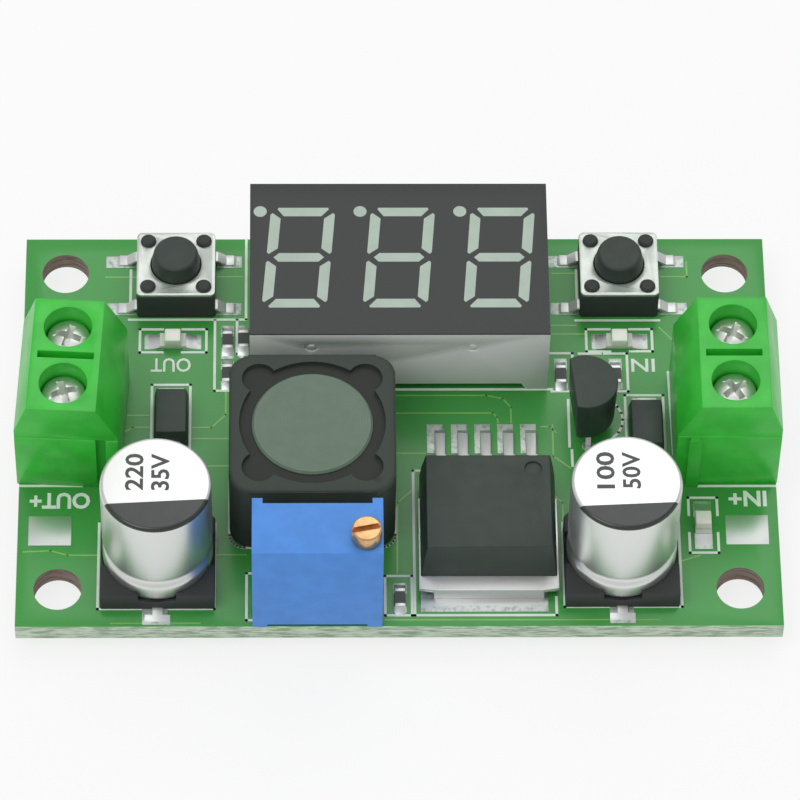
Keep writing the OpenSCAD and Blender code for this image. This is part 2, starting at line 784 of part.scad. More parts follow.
// ---- Regulator -----------------------------------------------------------------------------

// Its profiles along Y keep the board's own coordinate; X is about the part's middle
module at_regulator() { translate([regulator_at.x, 0, top]) children(); }

// Thick tab with a thin wing down each side
module tab_shape() {
    wing = [[0, tab_front + 0.05], [tab_half + 0.1, tab_front + 0.05], [wing_half, tab_front + 0.18],
        [wing_half, -7.2], [0, -7.2]];
    translate([-tab_half, tab_front, 0]) cube([2 * tab_half, 8.3, tab_t]);
    translate([0, 0, tab_t - wing_t]) linear_extrude(wing_t) union() {
        polygon(wing);
        polygon(flip_x(wing));
    }
}

module lead_shapes() {
    for (i = [-2:2]) translate([i * lead_pitch, 0, 0]) along_x(lead_w) polygon([
        [body_back - 1, 2.05], [-4.3, 2.05], [-3.1, 0], [lead_toe, 0], [lead_toe, 0.45],
        [-2.85, 0.45], [-4.05, 2.5], [body_back - 1, 2.5]]);
}

module regulator_body() {
    color([0.25, 0.28, 0.27]) at_regulator() difference() {
        intersection() {
            along_x(12) polygon([[body_back - 0.15, 0.05], [body_back, parting_z],
                [-5.45, regulator_h], [-13.62, regulator_h], [-13.74, parting_z + 0.9],
                [body_front, tab_t], [body_front, 0.05]]);
            translate([0, -9, 0]) along_y(15) polygon([[0.15 - body_half, 0.05], [-body_half, tab_t],
                [-body_top_half, regulator_h], [body_top_half, regulator_h], [body_half, tab_t],
                [body_half - 0.15, 0.05]]);
        }
        tab_shape();
        lead_shapes();
        translate([3.35, -6.65, regulator_h - 0.2]) cylinder(d = 1.25, h = 1);
    }
}

module regulator_tab() { color("lightgray") at_regulator() tab_shape(); }
module regulator_leads() { color("lightgray") at_regulator() lead_shapes(); }

// ---- Capacitors ----------------------------------------------------------------------------

base_w = 8.5;
seat_z = 0.9;
can_foot_r = 0.4;
can_edge_r = 0.3;
groove_z = 3.1;
groove_half = 0.75;
groove_depth = 0.3;

// Drawn can with round edges and a soft groove rolled in near the base
module capacitor_can() {
    r = can_d / 2;
    profile = concat([[0, seat_z]],
        [for (a = [-90:30:0]) [r - can_foot_r + can_foot_r * cos(a), seat_z + can_foot_r * (1 + sin(a))]],
        [for (a = [-180:30:180]) [r - groove_depth * (1 + cos(a)) / 2, groove_z + groove_half * a / 180]],
        [for (a = [0:15:90]) [r - can_edge_r + can_edge_r * cos(a), can_h + can_edge_r * (sin(a) - 1)]],
        [[0, can_h]]);
    color([0.86, 0.88, 0.86]) rotate_extrude() polygon(profile);
}

module capacitor_feet() {
    for (s = [0, 180]) rotate([0, 0, s]) translate([-0.4, 1.6, 0]) cube([0.8, 3.25, 0.2]);
}

module capacitor_base() {
    side = base_w / 2;
    cut = 1.5;
    color([0.14, 0.15, 0.15]) difference() {
        linear_extrude(1.7) polygon([[-side, -side], [side, -side], [side, side - cut],
            [side - cut, side], [cut - side, side], [-side, side - cut]]);
        translate([0, 0, seat_z]) cylinder(d = can_d, h = 3);
        for (a = [0, 90]) rotate([0, 0, a]) block(2.8, base_w + 1, seat_z + 0.1, 2);
        capacitor_feet();
    }
}

module out_capacitor_can() { on_board(out_capacitor_at) capacitor_can(); }
module out_capacitor_base() { on_board(out_capacitor_at) capacitor_base(); }
module in_capacitor_can() { on_board(in_capacitor_at) capacitor_can(); }
module in_capacitor_base() { on_board(in_capacitor_at) capacitor_base(); }
module capacitor_leads() {
    color("silver") for (p = [out_capacitor_at, in_capacitor_at]) on_board(p) capacitor_feet();
}

// ---- Small parts ---------------------------------------------------------------------------

// Flat face towards -X, a little turned; the three leads stand in a row along Y
module small_regulator_body() {
    low = 1.45;
    high = 5.7;
    color([0.2, 0.22, 0.22]) on_board(small_regulator_at) difference() {
        rotate([0, 0, small_turn]) intersection() {
            translate([-0.3, 0, low]) cylinder(r1 = 2.3, r2 = 2.42, h = high - low);
            along_y(6) polygon([[-1.15, low], [4, low], [4, high], [-1.27, high]]);
        }
        small_regulator_legs();
    }
}

module small_regulator_legs() {
    foot = pin_tip - top;
    for (i = [-1:1]) {
        body_y = i * 1.27;
        board_y = i * small_pin_y;
        along_x(0.4) polygon([[board_y - 0.22, foot], [board_y + 0.22, foot], [board_y + 0.22, 0.4],
            [body_y + 0.22, 1.3], [body_y + 0.22, 2], [body_y - 0.22, 2],
            [body_y - 0.22, 1.3], [board_y - 0.22, 0.4]]);
    }
}

module small_regulator_leads() { color("silver") on_board(small_regulator_at) small_regulator_legs(); }

// Bent strips at both ends of a diode, one closed shape for the cut and the lead
module diode_strips() {
    for (s = [0, 180]) rotate([0, 0, s]) along_x(1.45) polygon([[1.3, 0], [2.55, 0], [2.55, 1.1],
        [1.9, 1.1], [1.9, 0.9], [2.35, 0.9], [2.35, 0.2], [1.3, 0.2]]);
}

module diode_bodies() {
    color([0.2, 0.21, 0.21]) for (p = diodes_at) on_board(p) difference() {
        union() {
            drafted(2.4, 4.1, 2.6, 4.3, 0.12, 1);
            drafted(2.6, 4.3, 2.25, 3.9, 1, 2.2);
        }
        diode_strips();
    }
}

module diode_leads() { color("silver") for (p = diodes_at) on_board(p) diode_strips(); }

// Chip resistors stand with their length along Y
module resistor_bodies() {
    color([0.13, 0.13, 0.14]) for (p = resistors_at) on_board(p) {
        block(resistor_size.x, resistor_size.y - 2 * cap_len, 0.02, resistor_size.z - 0.04);
    }
}

module resistor_ends() {
    color("silver") for (p = resistors_at, s = [-1, 1]) on_board(p) {
        translate([0, s * (resistor_size.y - cap_len) / 2, 0]) {
            block(resistor_size.x, cap_len, 0, resistor_size.z);
        }
    }
}

// Chip lamps: two lie along X, one along Y
module each_led() {
    for (p = flat_leds_at) on_board(p) children();
    on_board(upright_led_at, 90) children();
}

module led_bases() {
    color("gainsboro") each_led() block(led_size.x, led_size.y, 0, led_size.z);
}

module led_lenses() {
    color([0.95, 0.97, 0.9]) each_led() {
        drafted(lens_len, led_size.y, lens_len - 0.14, led_size.y - 0.1, led_size.z, lens_top);
    }
}

module chip_legs() {
    for (i = [0:9], s = [0, 180]) rotate([0, 0, s]) translate([(i - 4.5) * 0.65, 0, 0]) {
        along_x(0.24) polygon([[2, 0.45], [2.45, 0.45], [2.65, 0], [3.2, 0], [3.2, 0.14],
            [2.74, 0.14], [2.54, 0.59], [2, 0.59]]);
    }
}

module controller_chip() {
    color([0.17, 0.18, 0.18]) on_board(display_at) difference() {
        block(chip_size.x, chip_size.y, 0.06, chip_size.z);
        chip_legs();
    }
}

module controller_leads() { color("silver") on_board(display_at) chip_legs(); }

// ---- Solder --------------------------------------------------------------------------------

// Solder round a pin: a plug in the board's hole and a cone under it
module pin_joint(hole_d, pad_d) {
    rotate_extrude() polygon([[0, -0.95], [0.38, -0.95], [0.48, -0.5], [pad_d / 2 - 0.12, -0.08],
        [pad_d / 2, 0], [hole_d / 2, 0], [hole_d / 2, board_t], [0, board_t]]);
}

// A wedge at each end of a part that lies along Y
module end_fillets(half_len, w, len, h) {
    for (s = [0, 180]) rotate([0, 0, s]) translate([0, half_len, 0]) toe_fillet(w, len, h);
}

module wire_pad() {
    block(3.2, 2.6, board_t, 0.05);
    block(3.2, 2.6, -0.05, 0.05);
    cylinder(d = wire_hole_d, h = board_t);
}

module board_pins() {
    difference() {
        for (p = terminal_pins) translate(p) pin_joint(terminal_hole_d, 2.3);
        out_terminal_contacts();
        in_terminal_contacts();
    }
    difference() {
        for (p = concat(display_pins_at, trimmer_pins_at)) translate(p) pin_joint(fine_hole_d, 1.6);
        for (p = concat(display_pins_at, trimmer_pins_at)) {
            translate([p.x, p.y, pin_tip]) cylinder(d = display_pin_d, h = 5);
        }
    }
    difference() {
        for (p = small_pins_at) translate(p) pin_joint(fine_hole_d, 1.7);
        small_regulator_leads();
    }
}

module solder_joints() {
    color([0.8, 0.82, 0.82]) {
        board_pins();
        for (p = wire_pads_at) translate(p) wire_pad();
        for (p = resistors_at) on_board(p) end_fillets(resistor_size.y / 2, 0.85, 0.6, 0.4);
        each_led() rotate([0, 0, 90]) end_fillets(led_size.x / 2, 1.3, 1.1, 0.3);
        for (p = diodes_at) on_board(p) end_fillets(2.55, 1.6, 0.45, 0.7);
        for (p = [left_switch_at, right_switch_at], y = [-strip_y, strip_y]) {
            on_board(p + [0, y], 90) end_fillets(strip_half, strip_w, 0.35, 0.15);
        }
        for (p = [out_capacitor_at, in_capacitor_at]) on_board(p) end_fillets(4.85, 1.9, 0.75, 0.2);
        on_board(inductor_at) end_fillets(inductor_w / 2 + clip_t, clip_w, 0.6, 0.6);
        for (i = [-2:2]) at_regulator() translate([i * lead_pitch, lead_toe, 0]) {
            toe_fillet(lead_w, 0.6, 0.35);
        }
        on_board([regulator_at.x - 0.3, tab_front], 180) toe_fillet(9.4, 1.1, 0.14);
    }
}

circuit_board();
display_case();
display_face();
display_segments();
display_board();
display_pins();
left_switch_base();
left_switch_contacts();
left_switch_dome();
left_switch_button();
left_switch_cover();
right_switch_base();
right_switch_contacts();
right_switch_dome();
right_switch_button();
right_switch_cover();
out_terminal_housing();
out_terminal_contacts();
out_plus_screw();
out_minus_screw();
out_plus_clamp();
out_minus_clamp();
in_terminal_housing();
in_terminal_contacts();
in_plus_screw();
in_minus_screw();
in_plus_clamp();
in_minus_clamp();
inductor_base();
inductor_shield();
inductor_core();
inductor_winding();
inductor_glue();
inductor_clips();
trimmer_housing();
trimmer_screw();
trimmer_rotor();
trimmer_element();
trimmer_pins();
regulator_body();
regulator_tab();
regulator_leads();
out_capacitor_can();
out_capacitor_base();
in_capacitor_can();
in_capacitor_base();
capacitor_leads();
small_regulator_body();
small_regulator_leads();
diode_bodies();
diode_leads();
resistor_bodies();
resistor_ends();
led_bases();
led_lenses();
controller_chip();
controller_leads();
solder_joints();
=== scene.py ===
"""Finishes, markings and fine forms of a step-down converter module with a voltmeter.

Lengths are in millimetres until a piece is made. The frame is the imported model's: the origin is
the centre of the four-hole pattern on the underside of the board, +Z is up, -Y is the edge with
the capacitors, and the output terminal is at -X.
"""

from __future__ import annotations

import json
import logging
import math
from dataclasses import dataclass
from enum import Enum
from functools import cached_property
from typing import Any, Callable, Iterable, Optional, Sequence, Union

import bmesh
import bpy
from mathutils import Matrix, Vector

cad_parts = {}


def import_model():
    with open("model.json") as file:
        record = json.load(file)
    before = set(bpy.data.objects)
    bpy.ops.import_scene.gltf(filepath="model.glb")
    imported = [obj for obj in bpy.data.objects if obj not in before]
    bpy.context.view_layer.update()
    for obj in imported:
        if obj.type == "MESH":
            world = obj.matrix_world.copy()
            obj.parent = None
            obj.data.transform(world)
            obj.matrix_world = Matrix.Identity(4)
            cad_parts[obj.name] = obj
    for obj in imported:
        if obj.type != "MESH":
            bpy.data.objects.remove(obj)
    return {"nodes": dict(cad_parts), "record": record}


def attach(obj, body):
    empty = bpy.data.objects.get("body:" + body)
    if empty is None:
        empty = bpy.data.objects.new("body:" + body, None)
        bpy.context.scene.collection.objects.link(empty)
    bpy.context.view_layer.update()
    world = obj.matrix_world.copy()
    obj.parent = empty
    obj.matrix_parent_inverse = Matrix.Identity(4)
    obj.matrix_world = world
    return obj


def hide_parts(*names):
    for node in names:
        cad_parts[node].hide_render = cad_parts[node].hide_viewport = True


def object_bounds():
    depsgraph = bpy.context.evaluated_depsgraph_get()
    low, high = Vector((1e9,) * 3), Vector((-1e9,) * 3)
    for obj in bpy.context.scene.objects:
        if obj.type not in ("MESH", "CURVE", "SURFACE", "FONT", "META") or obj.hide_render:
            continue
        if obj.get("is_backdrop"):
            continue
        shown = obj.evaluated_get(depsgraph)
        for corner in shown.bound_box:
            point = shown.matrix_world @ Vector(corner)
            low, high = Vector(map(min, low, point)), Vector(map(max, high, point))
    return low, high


MM = 0.001
COAT_ROUGHNESS = 0.12
BOARD_TOP = 1.6
INDUCTOR_AT = (-6.45, -4.56)
LOG = logging.getLogger("module")

Point = tuple[float, float]
Place = tuple[float, float, float]
Colour = tuple[float, float, float]


# ---- Shader arithmetic -----------------------------------------------------------------------


class Value:
    """A number at a node's output. Arithmetic on it adds Math nodes."""

    def __init__(self, graph: "Graph", socket: bpy.types.NodeSocket) -> None:
        """Keeps the graph and the output socket."""
        self.graph = graph
        self.socket = socket

    def __add__(self, other: "Number") -> "Value":
        """Sum."""
        return self.graph.math("ADD", self, other)

    def __radd__(self, other: "Number") -> "Value":
        """Sum, with the number on the left."""
        return self.graph.math("ADD", other, self)

    def __sub__(self, other: "Number") -> "Value":
        """Difference."""
        return self.graph.math("SUBTRACT", self, other)

    def __rsub__(self, other: "Number") -> "Value":
        """Difference, with the number on the left."""
        return self.graph.math("SUBTRACT", other, self)

    def __mul__(self, other: "Number") -> "Value":
        """Product."""
        return self.graph.math("MULTIPLY", self, other)

    def __rmul__(self, other: "Number") -> "Value":
        """Product, with the number on the left."""
        return self.graph.math("MULTIPLY", other, self)

    def __truediv__(self, other: "Number") -> "Value":
        """Quotient."""
        return self.graph.math("DIVIDE", self, other)

    def __abs__(self) -> "Value":
        """Size without its sign."""
        return self.graph.math("ABSOLUTE", self)

    def most(self, other: "Number") -> "Value":
        """The larger of two."""
        return self.graph.math("MAXIMUM", self, other)

    def ramp(self, low: float, high: float) -> "Value":
        """Rises smoothly from 0 to 1.

        Args:
            low: Where it starts to rise.
            high: Where it reaches 1.

        Returns:
            The number from 0 to 1.
        """
        spread = self.graph.node(
            "ShaderNodeMapRange",
            {"interpolation_type": "SMOOTHSTEP"},
            {"Value": self, "From Min": low, "From Max": high},
        )
        return Value(self.graph, spread.outputs["Result"])


Number = Union[Value, float]


class Graph:
    """The node tree of one material or sky."""

    def __init__(self, owner: Union[bpy.types.Material, bpy.types.World]) -> None:
        """Empties the tree.

        Args:
            owner: The material or world that the tree belongs to.
        """
        owner.use_nodes = True
        self.owner = owner
        self.tree = owner.node_tree
        self.tree.nodes.clear()

    @cached_property
    def place(self) -> bpy.types.NodeSocket:
        """The place on the object, in millimetres."""
        coords = self.node("ShaderNodeTexCoord")
        scaled = self.node(
            "ShaderNodeMapping",
            values={"Vector": coords.outputs["Object"], "Scale": (1 / MM,) * 3},
        )
        return scaled.outputs["Vector"]

    def node(
        self,
        kind: str,
        settings: Optional[dict[str, Any]] = None,
        values: Optional[dict[Union[str, int], Any]] = None,
    ) -> bpy.types.Node:
        """Adds a node.

        Args:
            kind: The node's type.
            settings: Its properties, set before its sockets.
            values: A number, colour, vector or link for each named socket.

        Returns:
            The node.
        """
        made = self.tree.nodes.new(kind)
        for key, setting in (settings or {}).items():
            setattr(made, key, setting)
        for key, value in (values or {}).items():
            socket = made.inputs[key]
            source = value.socket if isinstance(value, Value) else value
            if isinstance(source, bpy.types.NodeSocket):
                self.tree.links.new(source, socket)
            elif socket.type == "RGBA" and len(source) == 3:
                socket.default_value = (*source, 1.0)
            else:
                socket.default_value = source
        return made

    def math(self, operation: str, *terms: Number) -> Value:
        """Adds a Math node for one operation on its terms."""
        made = self.node("ShaderNodeMath", {"operation": operation}, dict(enumerate(terms)))
        return Value(self, made.outputs[0])

    def axes(self) -> tuple[Value, Value, Value]:
        """The place along X, Y and Z, in millimetres."""
        split = self.node("ShaderNodeSeparateXYZ", values={0: self.place})
        return tuple(Value(self, out) for out in split.outputs)

    def grain(self, size: float, detail: float = 2.0, stretch: Place = (1, 1, 1)) -> Value:
        """Fractal noise from 0 to 1.

        Args:
            size: How far across its grains are.
            detail: Octaves of finer noise.
            stretch: How many times finer it is along each axis.

        Returns:
            The noise.
        """
        where = self.node(
            "ShaderNodeMapping",
            values={"Vector": self.place, "Scale": tuple(s / size for s in stretch)},
        )
        made = self.node(
            "ShaderNodeTexNoise",
            values={"Vector": where.outputs["Vector"], "Scale": 1.0, "Detail": detail},
        )
        return Value(self, made.outputs["Fac"])

    def cells(self, size: float) -> Value:
        """Distance to the nearest of scattered points, for pits and specks of a size."""
        made = self.node(
            "ShaderNodeTexVoronoi", values={"Vector": self.place, "Scale": 1 / size}
        )
        return Value(self, made.outputs["Distance"])

    def blend(self, share: Number, first: Any, second: Any) -> bpy.types.NodeSocket:
        """A colour between two, by a share from 0 to 1."""
        made = self.node(
            "ShaderNodeMix", {"data_type": "RGBA"}, {0: share, 6: first, 7: second}
        )
        return made.outputs[2]

    def relief(self, height: Value, depth: float) -> bpy.types.NodeSocket:
        """A normal that shows a height, from 0 to 1, as that many millimetres."""
        made = self.node(
            "ShaderNodeBump", values={"Distance": depth * MM, "Height": height}
        )
        return made.outputs["Normal"]

    def close(
        self, shader: bpy.types.Node, output: str = "ShaderNodeOutputMaterial"
    ) -> Union[bpy.types.Material, bpy.types.World]:
        """Joins a shader to the output.

        Args:
            shader: The last shader.
            output: The type of the output node.

        Returns:
            The material or world.
        """
        end = self.node(output)
        self.tree.links.new(shader.outputs[0], end.inputs["Surface"])
        return self.owner


# ---- Finishes --------------------------------------------------------------------------------


def shade(colour: Colour, factor: float) -> Colour:
    """A colour made lighter or darker by a factor."""
    return tuple(min(1.0, part * factor) for part in colour)


@dataclass(frozen=True)
class Finish:
    """A moulded, printed or painted surface.

    Attributes:
        name: The material's name.
        colour: Its colour, linear.
        roughness: Its roughness.
        metallic: 1 for metal.
        coat: Weight of a clear gloss over it.
        mottle: Share by which the colour wanders.
        mottle_size: Size of the patches in which it wanders.
        grain_size: Size of the fine texture.
        grain_depth: Depth of the fine texture.
        stretch: How many times finer the texture is along each axis.
    """

    name: str
    colour: Colour
    roughness: float = 0.5
    metallic: float = 0.0
    coat: float = 0.0
    mottle: float = 0.06
    mottle_size: float = 1.6
    grain_size: float = 0.12
    grain_depth: float = 0.004
    stretch: Place = (1, 1, 1)

    def paint(self, graph: Graph) -> Any:
        """The colour over the surface."""
        share = graph.grain(self.mottle_size, 3.0).ramp(0.3, 0.7)
        return graph.blend(
            share, shade(self.colour, 1 - self.mottle), shade(self.colour, 1 + self.mottle)
        )

    def height(self, graph: Graph) -> Value:
        """The fine texture's height, from 0 to 1."""
        return graph.grain(self.grain_size, 3.0, self.stretch)

    def polish(self, graph: Graph) -> Number:
        """The roughness over the surface."""
        wear = graph.grain(self.mottle_size * 0.6, 2.0, self.stretch) - 0.5
        return wear * 0.16 + self.roughness

    def material(self) -> bpy.types.Material:
        """The material, made once."""
        known = bpy.data.materials.get(self.name)
        if known is not None:
            return known
        graph = Graph(bpy.data.materials.new(self.name))
        shader = graph.node(
            "ShaderNodeBsdfPrincipled",
            values={
                "Base Color": self.paint(graph),
                "Roughness": self.polish(graph),
                "Metallic": self.metallic,
                "Coat Weight": self.coat,
                "Coat Roughness": COAT_ROUGHNESS,
                "Normal": graph.relief(self.height(graph), self.grain_depth),
            },
        )
        return graph.close(shader)


@dataclass(frozen=True)
class SolderMask(Finish):
    """Lacquer over copper, lighter and yellower towards the bare margins of the board."""

    margin: Colour = (0.13, 0.46, 0.035)
    half_x: float = 28.5
    half_y: float = 17.7
    reach: float = 6.5
    end_share: float = 0.75
    side_share: float = 0.45

    def paint(self, graph: Graph) -> Any:
        """Paints the copper-backed green, with the margin's green at the corners and edges.

        Args:
            graph: The material's nodes.

        Returns:
            The colour.
        """
        x, y, _ = graph.axes()
        ends = ((abs(x) - (self.half_x - self.reach)) / self.reach).most(0.0)
        sides = ((abs(y) - (self.half_y - self.reach)) / self.reach).most(0.0)
        corner = ends * self.end_share + sides * self.side_share
        wander = graph.grain(5.0, 2.0) - 0.5
        share = (corner + wander * 0.5).ramp(0.15, 1.15)
        weave = graph.grain(0.5, 1.0, (1, 1, 0.1)).ramp(0.35, 0.65)
        base = graph.blend(weave, shade(self.colour, 0.94), shade(self.colour, 1.06))
        return graph.blend(share, base, self.margin)


@dataclass(frozen=True)
class Laminate(Finish):
    """Cut glass-fibre laminate: streaks that run along the layers."""

    streak: Colour = (0.28, 0.40, 0.27)

    def paint(self, graph: Graph) -> Any:
        """Paints pale resin with darker streaks and a few bright threads.

        Args:
            graph: The material's nodes.

        Returns:
            The colour.
        """
        layers = graph.grain(1.5, 3.0, (1, 1, 9)).ramp(0.42, 0.62)
        threads = graph.grain(0.35, 2.0, (0.5, 0.5, 3)).ramp(0.55, 0.75)
        base = graph.blend(layers, self.colour, self.streak)
        return graph.blend(threads * 0.5, base, shade(self.colour, 1.3))


@dataclass(frozen=True)
class Ferrite(Finish):
    """Pressed and sintered powder with small pits."""

    def paint(self, graph: Graph) -> Any:
        """Paints grey-green with fine specks.

        Args:
            graph: The material's nodes.

        Returns:
            The colour.
        """
        specks = graph.cells(0.16).ramp(0.1, 0.6)
        patches = graph.grain(self.mottle_size, 3.0).ramp(0.25, 0.75)
        dark = graph.blend(patches, shade(self.colour, 0.72), shade(self.colour, 1.05))
        return graph.blend(specks, dark, shade(self.colour, 1.25))

    def height(self, graph: Graph) -> Value:
        """Grains and pits."""
        return graph.grain(0.25, 4.0) * 0.6 + graph.cells(0.3) * 0.4


@dataclass(frozen=True)
class Turned(Finish):
    """A face with rings from turning or grinding about a vertical axis."""

    centre: Point = (0.0, 0.0)
    ring: float = 0.22

    def paint(self, graph: Graph) -> Any:
        """Paints rings that come and go.

        Args:
            graph: The material's nodes.

        Returns:
            The colour.
        """
        x, y, _ = graph.axes()
        dx, dy = x - self.centre[0], y - self.centre[1]
        radius = graph.math("SQRT", dx * dx + dy * dy)
        waves = graph.math("SINE", radius * (math.tau / self.ring)) * 0.5 + 0.5
        share = waves * graph.grain(1.2, 2.0).ramp(0.3, 0.8) * 0.7 + graph.grain(0.2, 2.0) * 0.3
        return graph.blend(share, shade(self.colour, 0.9), shade(self.colour, 1.12))


@dataclass(frozen=True)
class Solder(Finish):
    """Solder that froze in lumps."""

    def height(self, graph: Graph) -> Value:
        """Soft lumps and a fine frost."""
        return graph.grain(0.55, 1.0) * 0.85 + graph.grain(0.09, 2.0) * 0.15

    def paint(self, graph: Graph) -> Any:
        """Bright metal with darker patches: dull, flux-stained patches on the solder, and painted
        reflection of the dark surroundings on the screws.
        """
        # Darker patches: real dull spots on the solder; on the screws' heads the same patches are
        # painted reflection.
        dull_and_reflection = graph.grain(0.4, 3.0).ramp(0.45, 0.7)
        return graph.blend(dull_and_reflection, self.colour, shade(self.colour, 0.62))


class Coat(Enum):
    """The finishes of this module."""

    MASK = SolderMask("solder_mask", (0.022, 0.185, 0.016), 0.34, coat=0.25, grain_size=0.4)
    MASK_GAP = Finish("mask_over_bare_laminate", (0.20, 0.50, 0.10), 0.34, coat=0.3)
    EDGE = Laminate("cut_board_edge", (0.62, 0.72, 0.58), 0.62, grain_size=0.1, grain_depth=0.02)
    BORE = Laminate("drilled_board", (0.36, 0.27, 0.24), 0.7, streak=(0.20, 0.14, 0.12))
    INK = Finish("white_ink", (0.80, 0.88, 0.80), 0.6, grain_depth=0.006, mottle=0.05)
    SHELL = Finish("display_shell", (0.47, 0.55, 0.48), 0.5, mottle=0.05, grain_size=0.3)
    FILM = Finish("display_film", (0.036, 0.044, 0.039), 0.42, grain_size=0.05, grain_depth=0.002)
    DIFFUSER = Finish("bar_resin", (0.42, 0.52, 0.44), 0.45, mottle=0.04)
    INNER_BOARD = Finish("inner_board", (0.05, 0.2, 0.06), 0.5)
    TIN = Finish(
        "tinned_metal", (0.66, 0.70, 0.67), 0.28, 0.9, mottle=0.1, mottle_size=0.5,
        grain_depth=0.005
    )
    PAD = Solder("tinned_pad", (0.62, 0.70, 0.64), 0.4, 0.55, grain_depth=0.02, mottle_size=0.6)
    SOLDER = Solder("solder", (0.72, 0.76, 0.73), 0.2, 0.85, grain_depth=0.09, mottle_size=0.5)
    BLACK = Finish("black_moulding", (0.012, 0.017, 0.014), 0.45, grain_size=0.07, mottle=0.1)
    BUTTON = Finish(
        "button_moulding", (0.030, 0.042, 0.035), 0.55, grain_size=0.09, grain_depth=0.008
    )
    SHEET = Finish("cover_steel", (0.60, 0.65, 0.60), 0.38, 0.75, mottle_size=0.8)
    SPRING = Finish("spring_metal", (0.70, 0.68, 0.62), 0.25, 1.0)
    GREEN = Finish(
        "green_moulding", (0.030, 0.52, 0.034), 0.36, coat=0.15, mottle=0.1, mottle_size=2.5
    )
    # The screws take the solder's finish; on them its darker patches are painted reflection, not
    # stains.
    SCREW = Solder("zinc_screw", (0.72, 0.76, 0.72), 0.26, 0.95, grain_depth=0.03)
    CLAMP = Finish("clamp_metal", (0.62, 0.60, 0.52), 0.3, 1.0)
    FERRITE = Ferrite("ferrite", (0.058, 0.078, 0.063), 0.62, grain_depth=0.05, mottle_size=2.0)
    CORE = Turned(
        "ground_core", (0.125, 0.185, 0.132), 0.5, centre=INDUCTOR_AT, grain_depth=0.012
    )
    GLUE = Finish("dark_glue", (0.012, 0.016, 0.014), 0.25, grain_size=0.8, grain_depth=0.05)
    WIRE = Finish("enamelled_wire", (0.60, 0.28, 0.12), 0.35, 0.8)
    BLUE = Finish("blue_moulding", (0.075, 0.275, 0.76), 0.55, mottle=0.06, grain_size=0.1)
    BRASS = Finish("turned_brass", (0.70, 0.42, 0.20), 0.3, 0.9, mottle=0.12, mottle_size=0.5)
    NYLON = Finish("rotor_nylon", (0.75, 0.73, 0.66), 0.5)
    CERAMIC = Finish("alumina", (0.80, 0.79, 0.75), 0.6)
    EPOXY = Finish(
        "moulded_epoxy", (0.028, 0.043, 0.034), 0.5, mottle=0.08, grain_size=0.09, grain_depth=0.006
    )
    CAN = Finish(
        "aluminium_can", (0.58, 0.66, 0.60), 0.42, 0.55, mottle=0.03, grain_size=0.3,
        grain_depth=0.003, stretch=(1, 1, 0.1)
    )
    CAN_PRINT = Finish("can_print", (0.018, 0.026, 0.021), 0.3, mottle=0.08, coat=0.3)
    GLAZE = Finish("resistor_glaze", (0.015, 0.018, 0.018), 0.3)
    LAMP = Finish("lamp_ceramic", (0.62, 0.68, 0.58), 0.5)
    LENS = Finish("lamp_lens", (0.60, 0.72, 0.52), 0.25, mottle=0.12, mottle_size=0.5, coat=0.4)


# ---- Modelling -------------------------------------------------------------------------------


